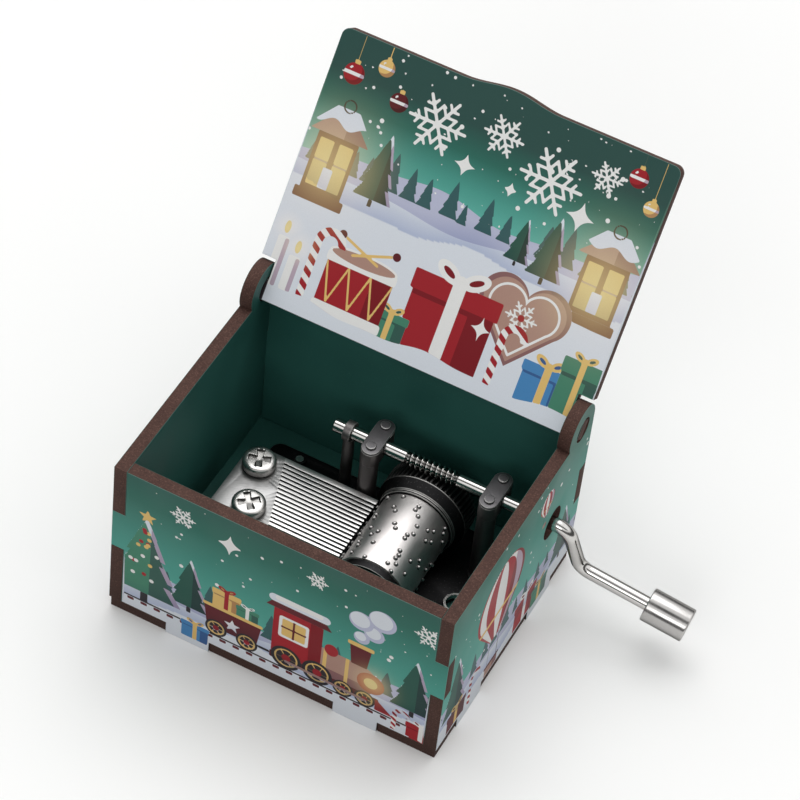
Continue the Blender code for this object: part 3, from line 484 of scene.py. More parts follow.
def snowy_fir(x, y, height, width, ink="fir", seed=0):
    """A fir with a shaded right half, snow on its tiers, and a trunk. A seed adds balls and a star."""
    at, tree = placed(x, y, width, height), fir(x, y, height, width)
    rows = [("dark", block(*at(-0.05, -0.02), *at(0.05, 0.1))), (ink, tree),
            ("snow", both(tree, outside(fir(*at(-0.03, -0.06), height, width)))),
            ("shade", both(tree, right_of(x + 0.06 * width)))]
    if seed:
        draws = np.random.default_rng(seed)
        for number in range(18):
            share = draws.uniform(0.12, 0.85)
            spot = at(draws.uniform(-0.36, 0.36) * (1 - share), share)
            rows.append((("red", "gold", "white")[number % 3], disc(*spot, 0.026 * width + 0.08)))
        rows.append(("gold", star(*at(0, 1.01), 0.1 * width + 0.4)))
    return rows


def gift(x, y, wide, high, wrap, ribbon):
    """A wrapped box with a lid, a ribbon round it and a bow of two loops."""
    at = placed(x, y, wide, high)
    rows = [(wrap, block(*at(0, 0), *at(1, 1), 0.2)), ("shade", block(*at(0.7, 0), *at(1, 0.76), 0.2)),
            ("shade", block(x + 0.1, y + 0.7 * high, x + wide - 0.1, y + 0.76 * high)),
            (wrap, block(*at(-0.04, 0.76), *at(1.04, 1), 0.25)), (ribbon, block(*at(0.42, 0), *at(0.58, 1)))]
    for side in (-1, 1):
        loop = (x + (0.5 + side * 0.17) * wide, y + high + 0.09 * wide)
        hollow = oval(*loop, 0.09 * wide, 0.035 * wide, side * 0.5)
        rows += [(ribbon, oval(*loop, 0.17 * wide, 0.095 * wide, side * 0.5)),
                 (wrap, hollow), ("shade", hollow)]
    return rows + [(ribbon, disc(x + wide / 2, y + high + 0.04 * wide, 0.065 * wide))]


def candy_cane(x, y, height, hook, width):
    """A striped stick with a hook: a straight run and half a ring, crossed by slanted bands."""
    bend = both(ring(disc(x + hook, y + height, hook), width / 2), above(y + height))
    cane = either(bar((x, y), (x, y + height), width), bend)
    return [("white", cane),
            ("red", both(cane, lambda points: -0.4 * width * np.sin(points @ (1, 1.6) * 2.6 / width)))]


def evening(reach, seed, sky, ground, firs, flakes):
    """The ground of a picture: a sky that darkens upwards, far hills, a row of far firs, snow, and round
    flakes of a few sizes strewn over the sky."""
    draws = np.random.default_rng(seed)
    rows = [("sky", sky)]
    if ground:
        rows.append(("haze", hills(ground + 4.2, 1, 7, seed)))
        for x in np.linspace(-reach, reach, firs) + draws.uniform(-0.8, 0.8, firs):
            height = draws.uniform(4, 8)
            rows.append(("far", fir(x, ground + 1, height, 0.52 * height)))
        drift = hills(ground - 3, 0.9, 6, seed + 4)
        rows += [("snow", hills(ground, 0.8, 8.5, seed + 2)),
                 ("tone", lambda points: np.clip(1 - drift(points) / 4.5, 0, 1) * 0.55 * (drift(points) > 0))]
    spots = np.column_stack([draws.uniform(-reach, reach, flakes), draws.uniform(ground + 3, 50, flakes)])
    sizes = draws.choice([0.14, 0.2, 0.3, 0.42], flakes, p=[0.4, 0.33, 0.2, 0.07])
    return rows + [("white", either(*[disc(*spot, size) for spot, size in zip(spots, sizes)]))]


def wheels(places, radius):
    """Spoked wheels that stand on the rail."""
    rows = []
    for x in places:
        rows += [("dark", disc(x, radius, radius)), ("gold", ring(disc(x, radius, 0.72 * radius), 0.17))]
        for turn in np.arange(3) * np.pi / 3:
            spoke = 0.7 * radius * np.array([math.cos(turn), math.sin(turn)])
            rows.append(("gold", bar((x, radius) - spoke, (x, radius) + spoke, 0.22)))
        rows.append(("red", disc(x, radius, 0.3 * radius)))
    return rows


def train():
    """A locomotive with a round boiler and a cab with a lit window, a wagon of presents behind it, and puffs
    of smoke. Heights count from the rail."""
    boiler, window = block(6, 3, 19.6, 10.4, 3), (3.55, 10.9)
    rows = [
        ("dark", bar((-34, 0), (34, 0), 0.4)),
        *[("maroon", block(x, -1, x + 1.3, -0.3, 0.1)) for x in np.arange(-31, 32, 2.6)],
        *gift(-12, 7.2, 5.2, 5.6, "gold", "red"), *gift(-7.4, 7.2, 4.2, 3.8, "leaf", "white"),
        ("maroon", tapered(-8, 2.2, 4.8, 8, 5.6)), ("gold", block(-13.8, 7.4, -2.2, 8.2, 0.3)),
        ("white", star(-8, 4.6, 1.7)), *wheels((-11, -5), 2.1),
        ("dark", bar((-2.6, 2.6), (0.4, 2.6), 0.6)),
        ("tan", boiler), ("shade", both(boiler, outside(above(5.4)))),
        ("gold", block(9.4, 3, 10.1, 10.4)), ("gold", block(13.6, 3, 14.3, 10.4)),
        ("red", disc(18.6, 6.7, 2.6)), ("gold", disc(18.6, 6.7, 1.3)), ("glow", shine(19, 6.9, 3.2, 0.6)),
        ("maroon", tapered(16.1, 10, 1.5, 15.4, 2.1)), ("gold", block(13.6, 14.8, 18.6, 15.8, 0.3)),
        ("red", oval(10.8, 10.6, 1.3, 1.5)),
        ("red", block(-0.4, 2.2, 9, 15.6, 0.4)), ("shade", block(6.6, 2.2, 9, 15.6, 0.3)),
        ("white", block(0.7, 8.1, 6.4, 13.7, 0.5)), ("gold", block(1.3, 8.7, 5.8, 13.1, 0.3)),
        ("maroon", either(bar((window[0], 8.7), (window[0], 13.1), 0.4),
                          bar((1.3, window[1]), (5.8, window[1]), 0.4))),
        ("maroon", tapered(4.3, 15.2, 6.3, 17.4, 4.7)),
        ("snow", bar((-0.6, 17.6), (9.2, 17.6), 1.9)), ("white", bar((0.2, 17.9), (8.2, 17.9), 1.1)),
        ("maroon", block(-0.6, 1.6, 20.4, 3.4, 0.3)),
        ("red", outline([(19.8, 3.4), (23.4, 0.4), (19.8, 0.4)])),
        *wheels((2.6, 8.6), 2.9), *wheels((13.6, 17.8), 2), ("tan", bar((2.6, 2), (17.8, 1.6), 0.6))]
    for x, y, radius in ((16, 17.6, 1.3), (18.2, 19.8, 1.7), (15.6, 21.8, 2.1), (19.4, 24, 2.4)):
        rows += [("haze", disc(x, y, radius + 0.2)), ("snow", disc(x - 0.25, y + 0.3, radius - 0.25))]
    return rows


def lifted(rows, height):
    """The same rows, set higher on the board."""
    return [(ink, lambda points, shape=shape: shape(points - (0, height))) for ink, shape in rows]


def repeated(motif, *calls):
    """The rows of one motif at several places and sizes."""
    return [row for sizes in calls for row in motif(*sizes)]


def white(shape, *calls):
    """White shapes of one kind at several places and sizes."""
    return [("white", shape(*sizes)) for sizes in calls]


def front_picture(reach):
    """A toy train with presents rolls past a decorated fir."""
    return [*evening(reach, 5, rising(8, 43), 9.5, 17, 110),
            *repeated(snowy_fir, (26.6, 8.6, 15, 9), (-16.5, 8.5, 14, 8.5)), *lifted(train(), RAIL),
            *snowy_fir(-25.2, 6, 22, 14.5, "leaf", 21), ("snow", hills(3.6, 0.5, 5, 2)),
            *repeated(gift, (-17.6, 1.6, 5.2, 4.2, "blue", "gold"), (26, 1.4, 5.6, 5.4, "red", "white")),
            *candy_cane(23.6, 1.6, 5.6, 1.3, 0.95), *white(sparkle, (-9.6, 30.8, 3.2)),
            *white(snowflake, (-18.6, 32.4, 2.4, 0.3), (27.8, 31, 2.6, 0.3), (7, 32.2, 2, 0.26))]


def ramp(tree, share, first, last, between):
    """A colour that runs from the first to the last, through others at the shares between."""
    made = add(tree, "ValToRGB", {"Fac": share})
    stops = made.color_ramp.elements
    stops[0].color, stops[1].color = first, last
    for place, colour in between.items():
        stops.new(place).color = colour
    return made.outputs["Color"]


def carried(tree, name, share=None):
    """A value that the mesh's points carry, or a share of it."""
    value = add(tree, "Attribute", attribute_name=name).outputs["Fac"]
    return value if share is None else calculate(tree, "MULTIPLY", value, share)


# printed picture: the sky's colours, then each ink where its distance is negative, then light and shade
picture, given, result = new_group("printed_picture", ("Colour",))
colour = ramp(picture, carried(picture, "sky"), tint(102, 190, 175), tint(46, 82, 76),
              {0.3: tint(80, 162, 148), 0.66: tint(48, 112, 98)})
for ink, shown in INKS.items():
    covered = ranged(picture, carried(picture, ink), -INK_BLUR, INK_BLUR, 1.0, 0.0)
    over = tint(*shown)
    if ink == "shade":
        over = blend(picture, 1.0, colour, tint(200, 180, 198), "MULTIPLY")
    colour = blend(picture, covered, colour, over)
cool = blend(picture, 1.0, colour, tint(150, 168, 214), "MULTIPLY")
colour = blend(picture, carried(picture, "tone"), colour, cool)
feed(picture, result, Colour=blend(picture, carried(picture, "glow"), colour, tint(255, 226, 160), "SCREEN"))

# grain in two sizes, and specks where the fine one peaks
fine_grain, given, result = new_group("fine_grain", ("Grain", "Patches", "Specks"), Size=4000.0, Patch=150.0)
place = coordinates(fine_grain)
grain = noise(fine_grain, place, given["Size"], 3.0)
feed(fine_grain, result, Grain=grain, Patches=noise(fine_grain, place, given["Patch"]),
     Specks=ranged(fine_grain, grain, 0.6, 0.72))

printed, tree, shader = new_material("printed_board", specular=0.22)
drawn = use_group(tree, picture)["Colour"]
grained = use_group(tree, fine_grain, Size=5200.0, Patch=90.0)
colour = blend(tree, calculate(tree, "MULTIPLY", grained["Grain"], 0.16), drawn,
               blend(tree, 1.0, drawn, tint(170, 170, 170), "MULTIPLY"))
colour = blend(tree, carried(tree, "wear", 0.65), colour, tint(150, 176, 168))
feed(tree, shader, Base_Color=colour, Normal=raised(tree, grained["Grain"], 0.12, 0.04),
     Roughness=uneven(tree, grained["Patches"], 0.44, 0.56))

cut_edge, tree, shader = new_material("cut_edge", specular=0.25)
cut = use_group(tree, board_cut)
feed(tree, shader, Base_Color=cut["Colour"], Normal=raised(tree, cut["Grain"], 0.5, 0.08),
     Roughness=uneven(tree, cut["Grain"], 0.72, 0.9))

inner_paint, tree, shader = new_material("inner_paint", specular=0.3)
paint = use_group(tree, green_paint)
colour = blend(tree, carried(tree, "wear", 0.6), paint["Colour"], tint(96, 130, 120))
feed(tree, shader, Base_Color=colour, Roughness=paint["Roughness"],
     Normal=raised(tree, paint["Grain"], 0.2, 0.04))


def wall_outline(reach, finger_reach, foot, slack, top):
    """A wall seen flat, counter-clockwise: two feet, and a finger at each side half way up."""
    bottom, near, far = BOARD + SEAM, foot[0] + slack, foot[1] - slack
    low, high = FINGER[0] + slack, FINGER[1] - slack
    half = [(near, bottom), (near, 0.0), (far, 0.0), (far, bottom), (reach, bottom), (reach, low),
            (finger_reach, low), (finger_reach, high), (reach, high)]
    return half + top + [(-x, z) for x, z in reversed(half)]


def make_board(name, loops, origin, across, up, upper, lower=None):
    """A board with its print on the upper face. The lower face has paint, or a print of its own."""
    spacing = (PRINT_SPACING, BACK_PRINT_SPACING if lower else PAINT_SPACING)
    points, faces, values = slab(loops, -BOARD, 0.0, BOARD_EDGE, spacing)
    reach = np.abs(points[:, 0]).max() + 1
    sheet = draw(points[:, :2], upper(reach))
    if lower:
        other = draw(points[:, :2] * (-1, 1), lower(reach))
        sheet = {ink: np.where(points[:, 2] < -BOARD / 2, other[ink], sheet[ink]) for ink in sheet}
    shape = set_in((points, faces, {**values, **sheet}), origin, across, up)
    materials = [cut_edge, printed, printed if lower else inner_paint]
    put(name, "lid" if name == "lid_board" else "box", shape, materials,
        [name.replace("board", "panel")])


inner_reach = HALF_WIDTH - BOARD - SEAM
front_loop = wall_outline(inner_reach, HALF_WIDTH, FRONT_FOOT, SEAM,
                          [(inner_reach, RIM), (-inner_reach, RIM)])
make_board("front_board", [front_loop], (0, -HALF_DEPTH, 0), (1, 0, 0), (0, 0, 1), front_picture)


# Back wall
# The same cut as the front wall, turned round, so its feet and fingers meet the same notches. Its print goes
# on with the winter theme: firs, snow crystals and presents.
def back_picture(reach):
    """A quiet forest with a decorated fir in the middle and snow crystals above."""
    return [*evening(reach, 14, rising(8, 43), 10, 19, 110),
            *repeated(snowy_fir, (-25, 7, 17, 10), (-13.5, 7, 13, 8), (14, 7, 15, 9),
                      (25.5, 7, 19, 11), (0.5, 5, 24, 15, "leaf", 33)),
            *white(snowflake, (-19, 30, 3, 0.3), (-9, 33, 2, 0.3), (12, 32, 2.6, 0.3),
                   (22, 30.6, 2, 0.3)),
            ("snow", hills(4.4, 0.6, 5, 0)),
            *repeated(gift, (8.4, 2.4, 6.4, 5.4, "red", "white"), (-14.6, 2.2, 7, 6, "blue", "gold"))]


make_board("back_board", [front_loop], (0, HALF_DEPTH, 0), (-1, 0, 0), (0, 0, 1), back_picture)


# Side walls
# Each side wall rises at the back to a round ear with a hole, in which the lid's tab turns. The right wall
# has a larger hole for the crank. Both lie over the ends of the front and back walls.
SIDE_FOOT = (9.0, 18.0)
EAR_RADIUS = 4.8
PIVOT = (21.6, 38.6)
PIVOT_HOLE = 2.45
SHAFT = (13.93, 21.7)
CRANK_HOLE = 3.25


def arc(centre, radius, start, end, steps):
    """Points along an arc, both ends included: the centre plus the radius times the cosine and sine."""
    angle = np.linspace(start, end, steps + 1)
    return np.stack([centre[0] + radius * np.cos(angle), centre[1] + radius * np.sin(angle)], 1)


def hole(centre, radius, steps=64):
    """A circle that runs clockwise, so that the material lies on its left."""
    return arc(centre, radius, 2 * np.pi, 0, steps)[:-1]


# a level band
band = as_shape(lambda points, y, half: np.abs(points[:, 1] - y) - half)


def balloon(x, y, radius):
    """A striped hot-air balloon: a ball drawn in to a neck, panels that narrow to the top, and a basket."""
    def panels(points):
        height = np.clip((points[:, 1] - y) / radius, -1.4, 1)
        neck = 0.8 + (height + 0.6) * 0.77
        half = np.where(height > -0.6, np.sqrt(np.maximum(1 - height ** 2, 0.003)), neck)
        panel = np.arcsin(np.clip((points[:, 0] - x) / (radius * np.maximum(half, 0.05)), -1, 1))
        return -0.14 * radius * np.cos(panel * 7)
    at = placed(x, y, radius, radius)
    skirt = tapered(x, y - 0.6 * radius, 0.8 * radius, y - 1.35 * radius, 0.22 * radius)
    bag = either(disc(x, y, radius), skirt)
    return [("red", bag), ("white", both(bag, panels)),
            ("shade", both(bag, lambda points: x + 0.42 * radius - points[:, 0] + 0.15 * (points[:, 1] - y))),
            ("gold", both(bag, band(y - 0.55 * radius, 0.05 * radius))),
            *[("dark", bar(at(side, -1.35), at(side, -2.1), 0.22)) for side in (-0.2, 0.2)],
            ("tan", block(*at(-0.27, -2.52), *at(0.27, -2.1), 0.1 * radius)),
            ("maroon", block(*at(-0.32, -2.18), *at(0.32, -2.1))),
            ("shade", block(*at(0.06, -2.52), *at(0.27, -2.18)))]


def right_picture(reach):
    """Two balloons over snowy hills, with firs and presents."""
    return [*evening(reach, 8, rising(8, 52), 9, 14, 80),
            *repeated(snowy_fir, (20, 6, 14.5, 8.5), (-21, 7, 16, 9)),
            ("snow", hills(6, 0.8, 6, 0.4)), *repeated(balloon, (-6, 23.6, 8.6), (9.8, 31.4, 2.6)),
            *repeated(gift, (2.6, 3, 8, 7, "red", "white"), (9.6, 2.2, 6, 5, "leaf", "gold"),
                      (-22.6, 2, 6.6, 5.4, "maroon", "gold")),
            *candy_cane(-14.2, 2.2, 6, 1.5, 1.1), ("snow", hills(2.4, 0.5, 3.6, 1))]


def lantern(x, y, wide, high):
    """A standing lantern: a dark frame round lit panes, a roof with snow on it, and a ring on top."""
    at = placed(x, y, wide, high)
    rows = [("glow", shine(*at(0, 0.38), 0.95 * wide, 0.6)),
            ("maroon", block(*at(-0.56, 0), *at(0.56, 0.1), 0.2)),
            ("maroon", block(*at(-0.46, 0.1), *at(0.46, 0.66)))]
    for side in (-0.22, 0.22):
        pane = block(*at(side - 0.16, 0.15), *at(side + 0.16, 0.61), 0.15)
        rows += [("gold", pane), ("tan", both(pane, band(y + 0.4 * high, 0.15)))]

    def snow(points):
        drips = y + 0.78 * high + 0.035 * high * np.sin(points[:, 0] * 9 / wide)
        cap = tapered(x, y + 0.73 * high, 0.62 * wide, y + 0.93 * high, 0.24 * wide)
        return np.maximum(cap(points) - 0.25, drips - points[:, 1])
    roof = tapered(x, y + 0.66 * high, 0.66 * wide, y + 0.88 * high, 0.2 * wide)
    return rows + [("white", block(*at(-0.11, 0.15), *at(0.11, 0.35), 0.1)), ("tan", roof),
                   ("shade", both(roof, right_of(x + 0.1 * wide))), ("snow", snow),
                   ("dark", ring(disc(*at(0, 0.97), 0.13 * wide), 0.14))]


def left_picture(reach):
    """A moon over firs, with a lantern in the snow."""
    moon = disc(-8, 29, 4.4)
    return [*evening(reach, 11, rising(8, 46), 10, 14, 80),
            ("snow", moon), ("haze", both(moon, outside(disc(-9.4, 30, 4.4)))),
            *repeated(snowy_fir, (-20, 7, 17, 10), (18.5, 7, 19, 11), (10, 7, 12, 7),
                      (-11, 7, 11, 6.5)),
            *lantern(0, 4, 8, 16), ("snow", hills(4.2, 0.6, 5, 0)),
            *repeated(gift, (6.6, 2.2, 6, 5.2, "red", "white"), (-14.6, 2, 7.6, 6.2, "maroon", "gold"))]


ear_centre = (HALF_DEPTH - EAR_RADIUS, extent("left_panel")[1][2] - EAR_RADIUS)
ear_foot = math.asin((ear_centre[1] - RIM) / EAR_RADIUS)
ear = arc(ear_centre, EAR_RADIUS, 0.0, math.pi + ear_foot, 40).tolist()
side_loop = wall_outline(HALF_DEPTH, HALF_DEPTH - BOARD, SIDE_FOOT, 0.0, ear + [(-HALF_DEPTH, RIM)])
make_board("right_board", [side_loop, hole(PIVOT, PIVOT_HOLE), hole(SHAFT, CRANK_HOLE)],
           (HALF_WIDTH, 0, 0), (0, 1, 0), (0, 0, 1), right_picture)
make_board("left_board", [(np.array(side_loop) * (-1, 1))[::-1], hole((-PIVOT[0], PIVOT[1]), PIVOT_HOLE)],
           (-HALF_WIDTH, 0, 0), (0, -1, 0), (0, 0, 1), left_picture)


# Lid
# A board as wide as the box, printed on both faces. Two tabs at its rear turn in the ears' holes, and a low
# lip on its front edge gives the thumb a hold.
LID_ANGLE = math.radians(126.5)
LID_FRONT = 48.0
LID_CORNER = 1.5
LIP_WIDTH, LIP_HEIGHT = 18.6, 1.1
SHOULDER, REAR_REACH = 5.7, 1.9
NECK, TAB = HALF_WIDTH - BOARD - 0.25, HALF_WIDTH - 0.1
WREATH_HEIGHT, WREATH_RADIUS = 23.5, 12.6


def bauble(x, y, radius, ink, top):
    """A hanging ball with a cap, a band and a glint, on a thread that runs up to a height."""
    at, ball = placed(x, y, radius, radius), disc(x, y, radius)
    return [("gold", bar(at(0, 1), (x, top), 0.16)), (ink, ball),
            ("white", both(ball, band(y, 0.16 * radius))),
            ("shade", both(ball, outside(disc(*at(-0.35, 0.3), radius)))),
            ("gold", block(*at(-0.28, 0.92), *at(0.28, 1.3), 0.1)),
            ("white", oval(*at(-0.42, 0.5), 0.2 * radius, 0.11 * radius, 0.8))]


def heart(x, y, size):
    """A gingerbread heart: two discs over a wedge, with an icing line inside, and a sugar crystal."""
    def shape(reach):
        at = placed(x, y, reach, reach)
        lobes = [disc(*at(side, 0.3), 0.53 * reach) for side in (-0.48, 0.48)]
        return either(*lobes, outline([at(-0.93, 0.02), at(0, -1), at(0.93, 0.02), at(0, 0.45)]))
    return [("tan", shape(size)), ("shade", shape(size)), ("tan", shape(0.9 * size)),
            ("white", ring(shape(0.76 * size), 0.22)), ("white", snowflake(x, y + 0.4, 2.9, 0.34)),
            ("red", disc(x, y + 0.4, 0.6))]


def toy_drum(x, y, wide, high):
    """A toy drum: a red barrel between pale hoops, laced with gold cord, with its two sticks."""
    at = placed(x, y, wide, high)
    middle, top = at(0.5, 1)
    barrel, skin = block(*at(0, 0), *at(1, 1)), oval(middle, top + 0.2, wide / 2, 0.12 * high)
    turns = [at(step / 6, 0.18 if step % 2 else 0.84) for step in range(7)]
    cord = either(*[bar(start, end, 0.36) for start, end in zip(turns, turns[1:])])
    rows = [("red", barrel), ("shade", block(*at(0.7, 0), *at(1, 1))), ("gold", both(cord, barrel)),
            ("white", block(x - 0.4, y - 0.2, x + wide + 0.4, y + 0.16 * high, 0.5)),
            ("white", block(x - 0.4, y + 0.84 * high, x + wide + 0.4, top + 0.2, 0.5)),
            ("tan", skin), ("white", ring(skin, 0.2))]
    for side in (-1, 1):
        head = (middle + side * 5.2, top + 3.4)
        rows += [("gold", bar(head, (middle - side * 2.4, top + 0.6), 0.5)), ("maroon", disc(*head, 0.75))]
    return rows


def candle(x, y, high):
    """A white candle with a flame, in warm light."""
    top = y + high
    return [("white", block(x - 1.1, y, x + 1.1, top, 0.4)),
            ("shade", block(x + 0.3, y, x + 1.1, top - 0.3, 0.3)),
            ("dark", bar((x, top), (x, top + 0.7), 0.16)), ("gold", oval(x, top + 1.7, 0.55, 1.15)),
            ("glow", shine(x, top + 1.7, 2.4, 0.7))]


def lid_picture(reach):
    """Snow crystals and hanging balls over a lake of snow, with presents and sweets in front. The tabs that
    turn in the ears get a painted shade of dark ink."""
    crystals = ((-10.5, 38.6, 5.2), (1.2, 41.2, 3.6), (11.6, 37.2, 5.6), (20.5, 41.5, 2.8))
    return [
        *evening(reach, 3, rising(26, 41), 23, 19, 110),
        *white(snowflake, *[(x, y, size, 0.085 * size + 0.12) for x, y, size in crystals]),
        *white(sparkle, (-3.5, 34, 2.6), (5.5, 33.2, 1.8), (18.5, 33.6, 3.4)),
        *repeated(bauble, (-27.5, 41, 1.9, "red", 50), (-22.3, 44, 1.5, "gold", 50),
                  (-18.2, 39.4, 1.7, "maroon", 50), (25.6, 43.6, 1.7, "red", 50),
                  (29.4, 39.6, 1.4, "gold", 50)),
        *repeated(snowy_fir, (-17, 21, 13, 7.5), (16, 20.5, 12, 7), (10.6, 21.6, 8.5, 5)),
        *repeated(lantern, (-26, 17.5, 8.4, 18.5), (26, 16.5, 8.8, 18)),
        ("snow", hills(16.5, 1, 9, 0.5)), *heart(15.2, 13.2, 8.4),
        *repeated(gift, (-4.5, -0.4, 15.5, 15, "red", "white"), (-9.6, -0.6, 6.4, 6, "leaf", "gold")),
        *toy_drum(-20.5, 0.6, 12.6, 10.6),
        *repeated(candy_cane, (-23.2, 0.2, 11.8, 2.2, 1.5), (13.4, 0, 9.6, 1.9, 1.4)),
        *repeated(candle, (-29.2, 1.2, 9), (-26.2, 1.2, 6.4)),
        *repeated(gift, (18.6, 0, 8.6, 7.6, "blue", "gold"), (25, -0.4, 6.8, 11.4, "leaf", "gold")),
        ("snow", hills(0.9, 0.5, 4.2, 1)), *white(sparkle, (9.2, 9, 2.4)),
        # painted shade: dark ink over the tabs, which sit in shade in the ears
        ("dark", lambda points: np.maximum(points[:, 1] - SHOULDER, NECK - np.abs(points[:, 0])))]


def wreath_picture(reach):
    """A round fir wreath with berries and a bow, and snow crystals, on the green sky."""
    def scattered(count, turn, spread):
        for number in range(count):
            angle = number * 2 * np.pi / count + draws.uniform(-turn, turn)
            radius = WREATH_RADIUS + draws.uniform(-spread, spread)
            yield number, angle, radius * math.cos(angle), WREATH_HEIGHT + radius * math.sin(angle)
    middle = disc(0, WREATH_HEIGHT, 0)
    rows = evening(reach, 17, lambda points: np.clip(0.35 + middle(points) / 40, 0, 1), 0, 0, 70)
    draws = np.random.default_rng(17)
    for number, angle, x, y in scattered(54, 0.04, 1.9):
        rows.append((("fir", "leaf")[number % 2], oval(x, y, 2.5, 1, angle + draws.uniform(0.5, 1.9))))
    for number, angle, x, y in scattered(20, 0.1, 1.6):
        rows.append(("gold" if number % 4 == 3 else "red", disc(x, y, 0.75)))
    for side in (-1, 1):
        rows += [("red", bar((0, 10.6), (side * 3.2, 5.4), 1.6)),
                 ("red", oval(side * 3.4, 11.6, 3.5, 1.9, side * 0.35)),
                 ("maroon", oval(side * 3.3, 11.5, 1.9, 0.8, side * 0.35))]
    crystals = ((-24, 39, 4.4), (24, 39, 4.4), (-24, 10, 3.6), (24, 10, 3.6), (0, WREATH_HEIGHT, 5.6))
    return rows + [("red", disc(0, 11, 1.5)),
                   *white(snowflake, *[(x, y, size, 0.1 * size) for x, y, size in crystals])]


corner = arc((HALF_WIDTH - LID_CORNER, LID_FRONT - LID_CORNER), LID_CORNER, 0.0, math.pi / 2, 8)
lip_x = np.linspace(LIP_WIDTH / 2, 0, 17)[:-1]
lip = np.stack([lip_x, LID_FRONT + LIP_HEIGHT * np.cos(np.pi * lip_x / LIP_WIDTH) ** 2], 1)
half = [(TAB, -REAR_REACH), (TAB, REAR_REACH), (NECK, REAR_REACH), (NECK, SHOULDER), (HALF_WIDTH, SHOULDER),
        *corner.tolist(), *lip.tolist()]
lid_loop = half + [(0.0, LID_FRONT + LIP_HEIGHT)] + [(-x, y) for x, y in reversed(half)]
up_lid = np.array([0, -math.cos(LID_ANGLE), math.sin(LID_ANGLE)])
out_of_lid = np.cross((1, 0, 0), up_lid)
make_board("lid_board", [lid_loop], np.array([0, *PIVOT]) + out_of_lid * BOARD / 2, (1, 0, 0), up_lid,
           lid_picture, wreath_picture)


# Bedplate
# The movement stands on a pressed steel plate with a black satin nickel finish. Three inserts, staked in from
# above, take the screws from below, and a bright bush sits at its right.
BEDPLATE_LOW, BEDPLATE_HIGH = 2.55, 3.45
SCREW_SPOTS = ((-18.1, 17.3), (-18.0, -9.8), (21.5, -9.0))
BUSH_SPOT = (20.9, 2.6)
BEDPLATE_CORNERS, CORNER_RADIUS = ((-24.0, -12.5), (25.0, 19.5)), 2.0
SCREW_HOLE, BUSH_HOLE = 0.85, 1.8
FINISH_BUMP = 0.03


def black_finish(name, dark, light, roughness):
    """Black satin nickel: patches of two tones with a fine grain, grey on the rounded edges as edge wear with
    a painted highlight.
    """
    material, tree, shader = new_material(name, 1.0, rim=0.6)
    grained = use_group(tree, fine_grain, Size=3200.0, Patch=220.0)
    colour = blend(tree, grained["Patches"], tint(*dark), tint(*light))
    colour = blend(tree, calculate(tree, "MULTIPLY", grained["Specks"], 0.2), colour, tint(140, 138, 138))
    # rounded edges lighter grey: edge wear with a painted highlight
    colour = blend(tree, carried(tree, "wear", 0.8), colour, tint(205, 203, 200))
    feed(tree, shader, Base_Color=colour, Normal=raised(tree, grained["Grain"], 0.16, FINISH_BUMP),
         Roughness=uneven(tree, grained["Patches"], *roughness))
    return material


casting = black_finish("black_casting", (112, 108, 108), (130, 126, 125), (0.42, 0.54))
black_steel = black_finish("black_steel", (40, 40, 41), (50, 49, 50), (0.4, 0.52))

nickel, tree, shader = new_material("nickel_plate", 1.0, rim=0.35)
grained = use_group(tree, fine_grain, Size=2600.0, Patch=300.0)
colour = blend(tree, grained["Patches"], tint(206, 204, 201), tint(224, 222, 219))
# painted shade where the points mark it: the screws' cross recess and the heads' sides
colour = blend(tree, carried(tree, "dirt", 0.7), colour, tint(60, 59, 58))
feed(tree, shader, Base_Color=colour, Normal=raised(tree, grained["Grain"], 0.05, FINISH_BUMP),
     Roughness=uneven(tree, grained["Patches"], 0.24, 0.34))


def rounded_rectangle(low, high, radius, steps=10):
    """A rectangle with round corners, counter-clockwise: a quarter arc at each corner."""
    right, rear, left, front = high[0] - radius, high[1] - radius, low[0] + radius, low[1] + radius
    centres = ((right, rear), (left, rear), (left, front), (right, front))
    return np.concatenate([arc(centre, radius, number * np.pi / 2, (number + 1) * np.pi / 2, steps)
                           for number, centre in enumerate(centres)])


def put_black(name, shape, node, finish=casting, body="box"):
    """A piece in one black finish, in place of one CAD node."""
    put(name, body, shape, [finish], [node])


bedplate = [rounded_rectangle(*BEDPLATE_CORNERS, CORNER_RADIUS), hole(BUSH_SPOT, BUSH_HOLE)]
bedplate += [hole(spot, SCREW_HOLE, 32) for spot in SCREW_SPOTS]
put_black("bedplate_pressing", slab(bedplate, BEDPLATE_LOW, BEDPLATE_HIGH, 0.12), "bedplate", black_steel)
for corner_name in ("rear_left", "front_left", "front_right"):
    dress("insert_" + corner_name, black_steel)
    dress("base_screw_" + corner_name, nickel)
dress("locating_bush", nickel)


# Comb
# Eighteen steel teeth are ground from one hardened plate, thinner than its root. The plate lies on a cast
# block, and two nickel screws with a cross recess clamp both down.
COMB_TOP, COMB_LOW, TEETH_LOW = 13.5, 12.3, 12.8
COMB_REAR, COMB_FRONT, COMB_LEFT, COMB_TIP = 9.0, -7.8, -23.65, 1.5
ROOT_REAR, ROOT_SLANT, ROOT_EDGE = -17.1, 0.3254, (-14.3, -14.0)
BLOCK_MARGIN, BLOCK_GAP = 0.4, 0.8
TEETH, TOOTH_PITCH, TOOTH_WIDTH, FIRST_TOOTH = 18, 0.904, 0.554, 8.143
COMB_SCREWS = {"rear": (-20.2, 5.1, 20.0), "front": (-17.1, -4.3, 40.0)}
COMB_HOLE = 1.6
SCREW_HEAD, SCREW_SHANK, SCREW_SKIRT, SCREW_CROWN = 3.05, 1.5, 1.1, 0.8
CROSS_REACH, CROSS_HALF, CROSS_MIDDLE, CROSS_DEPTH = 1.95, 0.4, 0.8, 0.66

